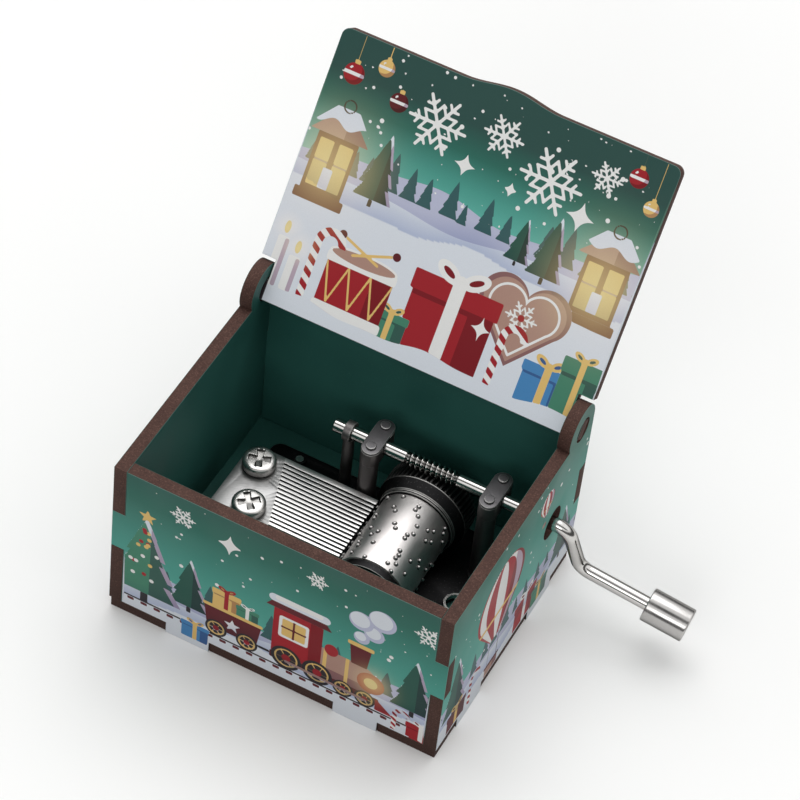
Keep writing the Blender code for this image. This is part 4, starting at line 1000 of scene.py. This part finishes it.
# fine scratches: noise stretched along one direction of the object
scratches, given, result = new_group("fine_scratches", ("Lines",), Across=3000.0, Along=120.0)
spot = axes(scratches, coordinates(scratches))
slanted = calculate(scratches, "ADD", spot["X"], calculate(scratches, "MULTIPLY", spot["Y"], 0.5))
across = calculate(scratches, "SUBTRACT", spot["Y"], calculate(scratches, "MULTIPLY", spot["X"], 0.5))
stretched = add(scratches, "CombineXYZ", {0: calculate(scratches, "MULTIPLY", slanted, given["Along"]),
                                          1: calculate(scratches, "MULTIPLY", across, given["Across"]),
                                          2: calculate(scratches, "MULTIPLY", spot["Z"], 900.0)}).outputs[0]
feed(scratches, result, Lines=noise(scratches, stretched, 1.0, 3.0))

comb_steel, tree, shader = new_material("comb_steel", 1.0)
ground = use_group(tree, scratches, Across=5200.0, Along=420.0)["Lines"]
grained = use_group(tree, fine_grain, Size=2600.0, Patch=140.0)
colour = blend(tree, ground, tint(140, 140, 140), tint(186, 185, 184))
spot = axes(tree, coordinates(tree))
before_root = calculate(tree, "ADD", spot["X"], calculate(tree, "MULTIPLY", spot["Y"], ROOT_SLANT))
# painted reflection: the teeth run lighter from the rear to the front
teeth_painted_reflection = blend(tree, ranged(tree, spot["Y"], -7.0 * MM, 8.0 * MM), tint(246, 245, 243), tint(206, 205, 204))
colour = blend(tree, ranged(tree, before_root, ROOT_EDGE[0] * MM, ROOT_EDGE[1] * MM), colour, teeth_painted_reflection)
# rounded edges lighter: edge wear with a painted highlight
colour = blend(tree, carried(tree, "wear", 0.5), colour, tint(235, 234, 232))
feed(tree, shader, Base_Color=colour, Normal=raised(tree, ground, 0.25, FINISH_BUMP),
     Roughness=uneven(tree, grained["Patches"], 0.3, 0.4))


def root_x(y):
    """Where the teeth start, which slants so that the front teeth are shorter."""
    return ROOT_REAR + (COMB_REAR - y) * ROOT_SLANT


def root_outline(margin, tip_gap):
    """The comb's solid back part. Its rear corner follows the rear screw's head."""
    rear, front, left = COMB_REAR - margin, COMB_FRONT + margin, COMB_LEFT + margin
    curve = arc((left + SCREW_HEAD, rear - SCREW_HEAD), SCREW_HEAD, np.pi / 2, np.pi, 12)
    return np.array([(root_x(front) - tip_gap, front), (root_x(rear) - tip_gap, rear), *curve, (left, front)])


def together(*shapes):
    """Several closed shapes as one mesh. A value that one of them doesn't carry is 0 there, and the faces'
    parts stay where all have them."""
    points, faces, values, start = [], [], [], 0
    for shape in shapes:
        points.append(shape[0])
        faces += [group + start for group in shape[1]]
        values.append(shape[2])
        start += len(shape[0])
    keys = set().union(*values) - {"parts"}
    joined = {key: np.concatenate([value.get(key, np.zeros(len(spots)))
                                   for value, spots in zip(values, points)]) for key in keys}
    if all("parts" in value for value in values):
        joined["parts"] = np.concatenate([value["parts"] for value in values])
    return np.concatenate(points), faces, joined


teeth = root_outline(0.0, 0.0)[2:].tolist()
for tooth in reversed(range(TEETH)):
    middle = FIRST_TOOTH - tooth * TOOTH_PITCH
    front = COMB_FRONT if tooth == TEETH - 1 else middle - TOOTH_WIDTH / 2
    rear = COMB_REAR if tooth == 0 else middle + TOOTH_WIDTH / 2
    teeth += [(root_x(front), front), (COMB_TIP, front), (COMB_TIP, rear), (root_x(rear), rear)]
comb_holes = [hole((x, y), COMB_HOLE, 40) for x, y, turn in COMB_SCREWS.values()]
root = slab([root_outline(0.0, 0.02)] + comb_holes, COMB_LOW, TEETH_LOW + 0.05, 0.04)
# the plate's walls, between the teeth too, and its underside are black steel: painted shade in the slots and
# under the comb
put("comb_plate", "box", together(slab([teeth] + comb_holes, TEETH_LOW, COMB_TOP, 0.05), root),
    [black_steel, comb_steel, black_steel], ["comb"])
block_loops = [root_outline(BLOCK_MARGIN, BLOCK_GAP)] + comb_holes
put_black("comb_block", slab(block_loops, BEDPLATE_HIGH + SEAM, COMB_LOW - SEAM, 0.15), "comb_base")


def close_ends(points, rows, columns, values):
    """A grid that closes round, with a fan of triangles over its first and its last row."""
    around, start, last = np.arange(columns), rows * columns, (rows - 1) * columns
    beside = (around + 1) % columns
    middles = [points[:columns].mean(0), points[-columns:].mean(0)]
    fans = [np.stack([np.full(columns, start), around, beside], 1),
            np.stack([np.full(columns, start + 1), last + beside, last + around], 1)]
    values = {key: np.concatenate([value, value[[0, -1]]]) for key, value in values.items()}
    return np.concatenate([points, middles]), [quads(rows, columns)] + fans, values


def comb_screw(x, y, turn, columns=160):
    """A pan-head screw. Its crown is nearly flat and turns down at the edge, by the eighth power of the
    distance from the middle, and a cross sinks in, deepest in the middle."""
    seat = COMB_TOP + SEAM
    outer = CROSS_REACH + 0.05 + (SCREW_HEAD - CROSS_REACH - 0.05) * np.sin(np.linspace(0.1, np.pi / 2, 14))
    reach = np.concatenate([np.linspace(0.02, CROSS_REACH + 0.05, 48), outer])
    angle = np.linspace(0, 2 * np.pi, columns, endpoint=False)
    east, north = (reach[:, None] * wave(angle) for wave in (np.cos, np.sin))
    crown = SCREW_CROWN * np.sqrt(np.maximum(1 - (reach / SCREW_HEAD) ** 8, 0))[:, None]
    folded = (angle - math.radians(turn) + np.pi / 4) % (np.pi / 2) - np.pi / 4
    along, aside = (reach[:, None] * wave(folded) for wave in (np.cos, np.sin))
    arm = np.maximum(np.abs(aside) - (CROSS_HALF + 0.14 * along), along - CROSS_REACH)
    arm = np.minimum(arm, np.hypot(along, aside) - CROSS_MIDDLE)
    wall = np.clip((0.04 - arm) / 0.12, 0, 1)
    level = seat + SCREW_SKIRT + crown
    level = level - wall ** 2 * (3 - 2 * wall) * (CROSS_DEPTH - 0.08 * reach[:, None])
    top = np.stack([x + east, y + north, np.broadcast_to(level, east.shape)], -1)
    side = [(SCREW_HEAD, seat + 0.2), (SCREW_HEAD - 0.06, seat + 0.06), (SCREW_HEAD - 0.2, seat),
            (SCREW_SHANK, seat), (SCREW_SHANK, COMB_LOW - 4.0)]
    below = [np.stack([x + radius * np.cos(angle), y + radius * np.sin(angle), np.full(columns, z)], -1)
             for radius, z in side]
    points = np.concatenate([top, below])
    # painted shade: the cross recess is darker, fully at its walls, and so are the head's side, underside and
    # shank
    recess_shade = np.where(arm < -0.1, 0.6, np.where(arm < 0.05, 1.0, 0.0))
    dirt = np.concatenate([recess_shade, np.ones((len(side), columns))])
    return close_ends(points.reshape(-1, 3), len(points), columns, {"dirt": dirt.ravel()})


for place_name, sizes in COMB_SCREWS.items():
    put("comb_clamp_screw_" + place_name, "box", comb_screw(*sizes), [nickel],
        ["comb_screw_" + place_name], sharp=60.0)


# Bearings
# Two black pillars carry the crank's shaft in open grooves, and a cap plate with two rivets closes each. A
# thin post with an eye steadies the shaft's free end.
cap_steel = black_finish("cap_steel", (108, 106, 108), (120, 118, 120), (0.42, 0.52))
PILLARS = {"left": -2.05, "right": 20.95}
OUTBOARD_X, EYE_HALF, EYE_RADIUS, STEM_RADIUS = -7.5, 0.75, 1.9, 1.05
RIVET_REACH, RIVET_RADIUS, RIVET_SHANK = 2.7, 0.95, 0.5
HEAD_RADIUS, POST_RADIUS = 1.75, 1.68
HEAD_LOW, HEAD_HIGH, CAP_HIGH = 19.92, 23.02, 23.57
GROOVE = 1.35
FOOT = BEDPLATE_HIGH + SEAM
MIDDLE = 0.02
UPRIGHT = (0, 0, 1)


def soften(corners, reach, steps=4, closed=False):
    """A line with round corners. Each corner gives way to a quadratic curve, which starts and ends at the
    reach from it or at under half its shorter side. The third value is edge wear and painted highlight, 1 in
    the middle of each curve."""
    corners = np.asarray(corners, float)
    before, after = corners - np.roll(corners, 1, 0), np.roll(corners, -1, 0) - corners
    lengths = [np.linalg.norm(side, axis=1, keepdims=True) for side in (before, after)]
    near = np.minimum(reach, 0.45 * np.minimum(*lengths))
    start, end = corners - before / lengths[0] * near, corners + after / lengths[1] * near
    share = np.linspace(0, 1, steps + 1)[:, None, None]
    curve = (1 - share) ** 2 * start + 2 * share * (1 - share) * corners + share ** 2 * end
    wear = np.broadcast_to(np.sin(np.pi * share), (*curve.shape[:2], 1))
    rows = np.concatenate([curve, wear], -1).transpose(1, 0, 2)
    if closed:
        return rows.reshape(-1, 3)
    ends = np.column_stack([corners[[0, -1]], [0, 0]])
    return np.concatenate([ends[:1], rows[1:-1].reshape(-1, 3), ends[1:]])


def turned(profile, origin, axis, steps=72, ring=False):
    """A piece turned about an axis. The profile gives distance along the axis, radius, and edge wear and
    painted highlight, from the far end back along the outside. A point is the origin, plus its distance
    times the axis, plus its radius times a direction that goes round."""
    profile, axis = np.asarray(profile, float), np.asarray(axis, float) / np.linalg.norm(axis)
    aside = np.cross(axis, (0, 0, 1) if abs(axis[2]) < 0.9 else (1, 0, 0))
    aside = aside / np.linalg.norm(aside)
    angle = np.linspace(0, 2 * np.pi, steps, endpoint=False)[:, None]
    around = np.cos(angle) * aside + np.sin(angle) * np.cross(axis, aside)
    points = np.asarray(origin, float) + profile[:, None, :1] * axis + profile[:, None, 1:2] * around
    points = points.reshape(-1, 3)
    values = {"wear": np.repeat(profile[:, 2], steps), "along": np.repeat(profile[:, 0], steps)}
    if ring:
        return points, [quads(len(profile), steps, True)], values
    return close_ends(points, len(profile), steps, values)


def pillar_head(x):
    """The long head, in three blocks: two round ends, and between them a groove that follows the shaft."""
    end = np.concatenate([arc((0, RIVET_REACH), HEAD_RADIUS, 0.0, np.pi, 24),
                          [(-HEAD_RADIUS, GROOVE), (HEAD_RADIUS, GROOVE)]])
    level = GROOVE * 1.01 * np.sin(np.linspace(-np.pi / 2, np.pi / 2, 25))
    side = np.stack([np.full(25, HEAD_RADIUS - 0.01), level], 1)

    def groove(spots):
        return SHAFT[1] - np.sqrt(np.maximum(GROOVE ** 2 - spots[:, 1] ** 2, 0))
    blocks = [slab([loop], HEAD_LOW, HEAD_HIGH, 0.1) for loop in (end, -end)]
    blocks.append(slab([np.concatenate([side, -side])], HEAD_LOW, groove, 0.02))
    return set_in(together(*blocks), (x, SHAFT[0], 0), (1, 0, 0), (0, 1, 0))


rivet_profile = soften([(0.45, MIDDLE), (0.45, RIVET_RADIUS), (0, RIVET_RADIUS), (0, RIVET_SHANK),
                        (-1.2, RIVET_SHANK), (-1.2, MIDDLE)], 0.22)
cap_loop = np.concatenate([arc((0, way * RIVET_REACH), HEAD_RADIUS, start, start + np.pi, 24)
                           for way, start in ((1, 0.0), (-1, np.pi))])
post_top = HEAD_LOW + 1.2
post = soften([(post_top, MIDDLE), (post_top, POST_RADIUS), (FOOT + 0.5, POST_RADIUS),
               (FOOT + 0.25, POST_RADIUS + 0.2), (FOOT, POST_RADIUS + 0.2), (FOOT, MIDDLE)], 0.15)
for side, x in PILLARS.items():
    foot = turned(post, (x, SHAFT[0] - RIVET_REACH, 0), UPRIGHT)
    put_black("pillar_" + side, together(pillar_head(x), foot), "bearing_pillar_" + side)
    plate = slab([cap_loop], HEAD_HIGH + SEAM, CAP_HIGH, 0.2)
    put_black("cap_plate_" + side, set_in(plate, (x, SHAFT[0], 0), (1, 0, 0), (0, 1, 0)),
              "bearing_cap_" + side, cap_steel)
    for end, way in (("front", -1), ("rear", 1)):
        rivet = turned(rivet_profile, (x, SHAFT[0] + way * RIVET_REACH, CAP_HIGH + SEAM), UPRIGHT, 48)
        put_black(f"rivet_{side}_{end}", rivet, f"cap_rivet_{side}_{end}", cap_steel)

eye = soften([(EYE_HALF, GROOVE), (EYE_HALF, EYE_RADIUS), (-EYE_HALF, EYE_RADIUS), (-EYE_HALF, GROOVE)],
             0.18, closed=True)
stem_top = SHAFT[1] - 1.6
stem = soften([(stem_top, MIDDLE), (stem_top, STEM_RADIUS), (FOOT + 0.3, STEM_RADIUS),
               (FOOT, STEM_RADIUS + 0.2), (FOOT, MIDDLE)], 0.12)
put_black("outboard_eye", together(turned(eye, (OUTBOARD_X, *SHAFT), (1, 0, 0), 64, True),
                                   turned(stem, (OUTBOARD_X, SHAFT[0], 0), UPRIGHT, 48)), "outboard_bearing")


# Drum
# A rolled steel sleeve holds the pins that pluck the comb. A black flange and the worm wheel close its rear,
# a cap its front, and all turn on one arbor between two upright brackets.
DRUM_X, DRUM_Z = 8.8, 12.17
DRUM_RADIUS, DRUM_BORE = 6.7, 5.9
DRUM_FRONT, DRUM_REAR = -7.62, 8.893
FLANGE_RIM, WHEEL_TIP, WHEEL_ROOT = 7.2, 8.45, 7.95
WHEEL_FRONT, WHEEL_BACK, WHEEL_TEETH = 11.88, 15.98, 52
TOOTH_POINTS = 8
WHEEL_SLANT, SLANT_REACH = math.radians(1.829), 2.05
PLUG_REACH, CAP_THICK, DISH_DEPTH = 1.0, 1.6, 0.3
ARBOR, ARBOR_FRONT, ARBOR_REAR = 0.8, -11.07, 17.78
BRACKETS, BRACKET_THICK, BRACKET_HALF = {"front": -9.57, "rear": 17.48}, 1.2, 2.8
PIN_SIDES, PINS_TO_TOOTH, PIN_SPREAD = 10, 6, 0.44
DRUM_AXIS = ((DRUM_X, 0, DRUM_Z), (0, 1, 0))


def turned_steel(name, dark, light, roughness, rim, depth):
    """Steel with fine turning lines, which follow the way along each piece. Rounded edges are brighter, as
    edge wear with a painted highlight, and the places that the points mark get a painted shade."""
    material, tree, shader = new_material(name, 1.0, rim=rim)
    rings = {"W": carried(tree, "along", 16.0), "Scale": 1.0, "Detail": 4.0}
    lines = add(tree, "TexNoise", rings, noise_dimensions="1D").outputs["Fac"]
    grained = use_group(tree, fine_grain, Size=2600.0, Patch=260.0)
    colour = blend(tree, lines, tint(*dark), tint(*light))
    # rounded edges lighter: edge wear with a painted highlight; marked places darker: painted shade
    colour = blend(tree, carried(tree, "wear", 0.4), colour, tint(228, 226, 223))
    colour = blend(tree, carried(tree, "dirt", 0.85), colour, tint(40, 39, 38))
    feed(tree, shader, Base_Color=colour, Normal=raised(tree, lines, depth, FINISH_BUMP),
         Roughness=uneven(tree, grained["Patches"], *roughness))
    return material


drum_steel = turned_steel("drum_steel", (226, 221, 219), (242, 238, 236), (0.36, 0.42), 0.4, 0.02)
bright_steel = turned_steel("bright_steel", (196, 194, 191), (220, 218, 215), (0.09, 0.15), 0.12, 0.04)


def drum_pins(seed, each):
    """Domed pins, each a small grid turned about its own axis. The axes stand square to the sleeve in the
    ring of each tooth, at even angles that a draw moves to either side."""
    draws = np.random.default_rng(seed)
    angle = draws.uniform(0, each, (TEETH, 1)) + np.arange(each)
    angle = (angle + draws.uniform(-PIN_SPREAD, PIN_SPREAD, (TEETH, each))).ravel() * 2 * np.pi / each
    level = np.repeat(FIRST_TOOTH - np.arange(TEETH) * TOOTH_PITCH, each)
    outward = np.stack([np.cos(angle), 0 * angle, np.sin(angle)], 1)[:, None, None]
    sideways = np.stack([-np.sin(angle), 0 * angle, np.cos(angle)], 1)[:, None, None]
    profile = np.array([(0.4, 0.04), (0.38, 0.17), (0.29, 0.29), (0.05, 0.36), (0.02, 0.48), (-0.2, 0.48)])
    turn = np.linspace(0, 2 * np.pi, PIN_SIDES, endpoint=False)
    east, north = (profile[:, None, 1] * wave(turn) for wave in (np.sin, np.cos))
    points = ((DRUM_RADIUS + profile[None, :, None, :1]) * outward + east[None, :, :, None] * sideways
              + (north[None] + level[:, None, None])[..., None] * np.array([0, 1, 0]))
    points = points + np.array([DRUM_X, 0, DRUM_Z])
    grid = len(profile) * PIN_SIDES
    starts = np.arange(len(angle))[:, None, None] * grid
    cap = np.arange(1, PIN_SIDES - 1)
    fan = np.stack([0 * cap, cap, cap + 1], 1)
    groups = (quads(len(profile), PIN_SIDES), fan, grid - PIN_SIDES + fan[:, ::-1])
    faces = [(group + starts).reshape(-1, group.shape[1]) for group in groups]
    # painted contact shadow: each pin's foot, where it meets the sleeve, is darker
    dirt = np.tile(np.repeat([0.0, 0.0, 0.4, 1.0, 1.0, 1.0], PIN_SIDES), len(angle))
    return points.reshape(-1, 3), faces, {"dirt": dirt}


def put_ring(name, corners, reach, steps, node):
    """A black ring of the drum, turned from a closed profile."""
    shape = turned(soften(corners, reach, closed=True), *DRUM_AXIS, steps, True)
    put_black(name, shape, node, black_steel, "drum")


sleeve = soften([(DRUM_REAR, DRUM_BORE), (DRUM_REAR, DRUM_RADIUS),
                 (DRUM_FRONT, DRUM_RADIUS), (DRUM_FRONT, DRUM_BORE)], 0.12, closed=True)
pinned = together(turned(sleeve, *DRUM_AXIS, 256, True), drum_pins(7, PINS_TO_TOOTH))
put("pinned_sleeve", "drum", pinned, [drum_steel], ["drum_sleeve"])

plug, bore, hub = DRUM_BORE - SEAM, ARBOR + SEAM, DRUM_RADIUS - 0.2
front, rear, wheel_face = DRUM_FRONT - SEAM, DRUM_REAR + SEAM, WHEEL_FRONT - SEAM
face, dish = front - CAP_THICK, front - CAP_THICK + DISH_DEPTH
put_ring("drum_front_cap", [
    (front + PLUG_REACH, bore), (front + PLUG_REACH, plug), (front, plug), (front, hub), (face, hub),
    (face, 4.4), (dish, 4.2), (dish, 2.2), (face, 2.0), (face, bore)], 0.14, 160, "drum_end_cap")
put_ring("drum_rear_flange", [
    (wheel_face, bore), (wheel_face, WHEEL_TIP), (wheel_face - 0.25, WHEEL_TIP),
    (rear + 0.75, FLANGE_RIM + 0.12), (rear + 0.5, FLANGE_RIM), (rear, FLANGE_RIM), (rear, plug),
    (rear - PLUG_REACH, plug), (rear - PLUG_REACH, bore)], 0.2, 192, "drum_flange")


def worm_wheel():
    """The toothed wheel. Its radius goes from root to tip and back over the points of each tooth, and its
    teeth slant: each row is turned on by its distance from the shaft's middle."""
    columns = TOOTH_POINTS * WHEEL_TEETH
    share = np.abs((np.arange(columns) / TOOTH_POINTS + 0.5) % 1 - 0.5)
    radius = WHEEL_ROOT + (WHEEL_TIP - WHEEL_ROOT) * np.clip((0.25 - share) / 0.12, 0, 1)
    levels = np.array([WHEEL_BACK, WHEEL_BACK - 0.12, *np.linspace(WHEEL_BACK - 0.6, WHEEL_FRONT + 0.6, 6),
                       WHEEL_FRONT + 0.12, WHEEL_FRONT])[:, None]
    angle = np.pi / 2 - np.arange(columns) * 2 * np.pi / columns
    turn = angle + WHEEL_SLANT * (SHAFT[0] - levels) / SLANT_REACH
    reach = np.where(np.isin(levels, (WHEEL_BACK, WHEEL_FRONT)), 0.985, 1.0) * radius

    def with_bore(outer, inner):
        return np.concatenate([np.broadcast_to(part, (rows, columns))
                               for part, rows in ((outer, len(levels)), (inner, 2))])
    turn, reach = with_bore(turn, angle), with_bore(reach, bore)
    level = with_bore(levels, np.array([[WHEEL_FRONT], [WHEEL_BACK]]))
    points = np.stack([DRUM_X + reach * np.cos(turn), level, DRUM_Z + reach * np.sin(turn)], -1)
    # tooth tips a little lighter: edge wear with a painted highlight
    wear = np.where((share < 0.15) & (reach > bore), 0.15, 0.0)
    return points.reshape(-1, 3), [quads(len(reach), columns, True)], {"wear": wear.ravel()}


put("toothed_wheel", "drum", worm_wheel(), [black_steel], ["worm_wheel"], sharp=35.0)
rod = soften([(ARBOR_REAR, MIDDLE), (ARBOR_REAR, ARBOR), (ARBOR_FRONT, ARBOR), (ARBOR_FRONT, MIDDLE)], 0.2)
put("drum_axle", "drum", turned(rod, *DRUM_AXIS, 40), [bright_steel], ["drum_arbor"])
upright = [np.concatenate([arc((DRUM_X, DRUM_Z), BRACKET_HALF, 0.0, np.pi, 40),
                           [(DRUM_X - BRACKET_HALF, FOOT), (DRUM_X + BRACKET_HALF, FOOT)]]),
           hole((DRUM_X, DRUM_Z), ARBOR + 0.1, 32)]
for end, y in BRACKETS.items():
    bracket = set_in(slab(upright, 0.0, BRACKET_THICK, 0.12), (0, y, 0), (1, 0, 0), (0, 0, 1))
    put_black("upright_" + end, bracket, "drum_bracket_" + end)


# Crank
# One bright steel wire is the shaft, the arm and the handle's pin. The worm is rolled into the shaft over the
# drum's wheel, so it stands a little proud of the wire.
CRANK_TURN = math.radians(10.0)
WIRE, WIRE_SIDES, WIRE_STEP, WIRE_ROUND = 1.25, 48, 0.07, 0.25
SHAFT_END, ELBOW_X, THROW, SPLAY = -10.5, 35.15, 10.3, 2.5
BEND = 3.15
HANDLE_LEAN = math.radians(9.0)
BARE_HANDLE, KNOB_LENGTH, RECESS_DEPTH = 13.45, 8.0, 2.4
PITCH_RADIUS = 8.28
WORM_PITCH = 2 * math.pi * PITCH_RADIUS / WHEEL_TEETH
WORM_ROOT, WORM_CREST, WORM_TURNS = 1.0, 1.5, 9

crank_frame = np.array([(1, 0, 0), (0, math.cos(CRANK_TURN), math.sin(CRANK_TURN)),
                        (0, -math.sin(CRANK_TURN), math.cos(CRANK_TURN))])


def on_handle(distance):
    """A point on the handle's axis, this far from the wire's second bend, in the crank's own frame."""
    return np.array([ELBOW_X + SPLAY + distance * math.cos(HANDLE_LEAN), 0,
                     -THROW - distance * math.sin(HANDLE_LEAN)])


def in_box(points):
    """Points from the crank's frame: turned about the shaft, then moved to it."""
    return np.array([0, *SHAFT]) + points @ crank_frame


def bent_line(corners, radius, spacing):
    """A wire's middle line and its direction: straight runs joined by arcs. An arc's point is its start, plus
    the radius times the run's direction by the sine of the turn so far, and the inward normal by one less its
    cosine."""
    start = corners[0]
    points, directions = [start[None]], [(corners[1] - start)[None] / np.linalg.norm(corners[1] - start)]
    for before, corner, after in zip(corners[:-2], corners[1:-1], corners[2:]):
        inward, outward = (side / np.linalg.norm(side) for side in (corner - before, after - corner))
        turn = math.acos(inward @ outward)
        arc_start = corner - inward * radius * math.tan(turn / 2)
        normal = (outward - inward * (inward @ outward)) / math.sin(turn)
        share = np.arange(spacing, np.linalg.norm(arc_start - start) - spacing / 2, spacing)[:, None]
        angle = np.linspace(0, turn, 25)[:, None]
        bend = arc_start + radius * (np.sin(angle) * inward + (1 - np.cos(angle)) * normal)
        points += [start + share * inward, bend]
        directions += [np.repeat(inward[None], len(share), 0),
                       np.cos(angle) * inward + np.sin(angle) * normal]
        start = bend[-1]
    last = corners[-1] - start
    share = np.linspace(0, 1, int(np.linalg.norm(last) / spacing))[1:, None]
    points.append(start + share * last)
    directions.append(np.repeat(last[None] / np.linalg.norm(last), len(share), 0))
    return np.concatenate(points), np.concatenate(directions)


def worm_radius(x, angle):
    """The wire's radius over the worm, and how deep each point lies in the thread. The ridge is a cosine of
    the thread's place, which is the distance over the pitch, less the turn."""
    start = DRUM_X - WORM_TURNS / 2 * WORM_PITCH
    place = (x - DRUM_X) / WORM_PITCH - (angle - np.pi / 2) / (2 * np.pi)
    ridge = 0.5 + 0.5 * np.cos(2 * np.pi * place)
    fade = np.clip(np.minimum(x - start, start + WORM_TURNS * WORM_PITCH - x) / 0.5 + 0.5, 0, 1)
    waist = np.clip(((WORM_TURNS + 1) * WORM_PITCH / 2 - np.abs(x - DRUM_X)) / 0.15 + 0.5, 0, 1)
    ridge = ridge * fade * waist
    return WIRE + (WORM_ROOT - WIRE) * waist + (WORM_CREST - WORM_ROOT) * ridge, waist - ridge


corners = [np.array([SHAFT_END, 0, 0.0]), np.array([ELBOW_X, 0, 0.0]), on_handle(0),
           on_handle(BARE_HANDLE + KNOB_LENGTH - RECESS_DEPTH + SEAM)]
line, ahead = bent_line(corners, BEND, WIRE_STEP)
run = np.concatenate([[0], np.cumsum(np.linalg.norm(np.diff(line, axis=0), axis=1))])
angle = np.linspace(0, 2 * np.pi, WIRE_SIDES, endpoint=False)
to_end = np.clip(np.minimum(run, run[-1] - run) / WIRE_ROUND, 0, 1)[:, None]
radius, depth = worm_radius(line[:, :1], angle + CRANK_TURN)
radius = radius - WIRE_ROUND * (1 - np.sqrt(1 - (1 - to_end) ** 2))
around = (np.cos(angle)[:, None] * np.array([0, 1, 0])
          + np.sin(angle)[:, None] * np.cross(ahead, (0, 1, 0))[:, None])
wire = (line[:, None] + radius[..., None] * around)[::-1].reshape(-1, 3)
# painted shade: the worm's thread valleys are darker
values = {"along": np.repeat(run[::-1], WIRE_SIDES), "dirt": depth[::-1].ravel() ** 2}
put("crank_wire", "crank", close_ends(in_box(wire), len(line), WIRE_SIDES, values), [bright_steel],
    ["crank_shaft"], sharp=89.0)


# Knob
# A turned steel barrel spins on the handle's pin. Its outer end is bored out, and the pin's end is riveted
# over a washer in there.
KNOB_RADIUS, RECESS_RADIUS, WASHER_RADIUS = 3.09, 2.5, 1.9

knob_steel = turned_steel("knob_steel", (160, 158, 156), (204, 202, 200), (0.18, 0.26), 0.25, 0.2)
handle = (in_box(on_handle(BARE_HANDLE)), (on_handle(1) - on_handle(0)) @ crank_frame)
floor = KNOB_LENGTH - RECESS_DEPTH
barrel = soften([(KNOB_LENGTH, RECESS_RADIUS), (KNOB_LENGTH, KNOB_RADIUS), (0, KNOB_RADIUS), (0, GROOVE),
                 (floor, GROOVE), (floor, RECESS_RADIUS)], 0.3, closed=True)
put("knob_barrel", "knob", turned(barrel, *handle, 128, True), [knob_steel], ["crank_knob"])
washer = soften([(floor + 0.7, MIDDLE), (floor + 0.7, WASHER_RADIUS), (floor + 0.1, WASHER_RADIUS),
                 (floor + 0.1, MIDDLE)], 0.2)
put("pin_rivet", "crank", turned(washer, *handle, 64), [knob_steel], ["knob_rivet"])


# Studio
# The box stands on a pale table top with no seam. A long lens looks down from the front right. Two soft boxes
# hang over it, under a bright dome. The dome is dim at the horizon and has a dim strip overhead, so that
# metal shows dark bands.
CAMERA_PLACE = (0.164006, -0.383287, 0.522570)
CAMERA_TURNS = ((22.2969, "Z"), (90 - 48.6270, "X"), (7.1495, "Z"))
CAMERA_LENS = 170.963
TABLE_REACH, TABLE_SIDES = 4, 64

scene = bpy.context.scene
scene.view_settings.view_transform = "Standard"


def stand(name, data):
    """A lamp, a camera or a mesh as an object in the scene."""
    made = bpy.data.objects.new(name, data)
    scene.collection.objects.link(made)
    return made


camera = stand("camera", bpy.data.cameras.new("camera"))
camera.data.lens = CAMERA_LENS
camera.data.sensor_width = 36.0
camera.data.clip_start, camera.data.clip_end = 0.01, 20.0
camera.matrix_world = Matrix.Translation(CAMERA_PLACE)
for degrees, axis in CAMERA_TURNS:
    camera.matrix_world = camera.matrix_world @ Matrix.Rotation(math.radians(degrees), 4, axis)
scene.camera = camera

table, tree, shader = new_material("pale_table", specular=0.2)
speckle = noise(tree, coordinates(tree), 900.0)
path = add(tree, "LightPath").outputs
seen = calculate(tree, "MAXIMUM", path["Is Camera Ray"],
                 calculate(tree, "MAXIMUM", path["Is Glossy Ray"], path["Is Transmission Ray"]))
shader.inputs["Roughness"].default_value = 0.8
feed(tree, shader, Base_Color=blend(tree, seen, tint(192, 190, 188), tint(249, 249, 248)),
     Normal=raised(tree, speckle, 0.03, 0.2))
table_mesh = bpy.data.meshes.new("table_top")
rim = np.linspace(0, 2 * np.pi, TABLE_SIDES, endpoint=False)
edge = np.stack([TABLE_REACH * np.cos(rim), TABLE_REACH * np.sin(rim), 0 * rim], 1)
table_mesh.from_pydata(edge.tolist(), [], [list(range(TABLE_SIDES))])
table_mesh.materials.append(table)
table_top = stand("table_top", table_mesh)


def grey(level):
    """A grey of the dome, linear."""
    return (level, level, level, 1.0)


world = bpy.data.worlds.new("studio")
world.use_nodes = True
scene.world = world
tree = world.node_tree
toward = axes(tree, add(tree, "TexCoord").outputs["Generated"])
dome = ramp(tree, toward["Z"], grey(0.08), grey(1.15), {0.34: grey(0.10), 0.46: grey(0.85), 0.6: grey(1.15)})
beside = calculate(tree, "ADD", calculate(tree, "MULTIPLY", toward["Y"], 0.92),
                   calculate(tree, "MULTIPLY", toward["Z"], 0.4))
strip = ranged(tree, calculate(tree, "ABSOLUTE", beside), 0.1, 0.24, 0.08, 1.0)
lit = ranged(tree, toward["Z"], 0.5, 0.7)
strip = calculate(tree, "MAXIMUM", strip, calculate(tree, "SUBTRACT", 1.0, lit))
feed(tree, tree.nodes["Background"], Color=blend(tree, 1.0, dome, strip, "MULTIPLY"))
tree.nodes["Background"].inputs["Strength"].default_value = 1.0


def soft_box(name, place, aim, width, height, power):
    """A rectangular studio lamp at a place, turned to face a point."""
    lamp = bpy.data.lights.new(name, "AREA")
    lamp.shape = "RECTANGLE"
    lamp.size, lamp.size_y, lamp.energy = width, height, power
    made = stand(name, lamp)
    made.location = place
    made.rotation_euler = (Vector(place) - Vector(aim)).to_track_quat("Z", "Y").to_euler()


soft_box("key_soft_box", (-0.24, 0.54, 1.35), (0, 0, 0.02), 1.2, 0.9, 6.3)
soft_box("front_soft_box", (0.15, -0.9, 0.55), (0, 0, 0.03), 0.5, 0.3, 1.3)
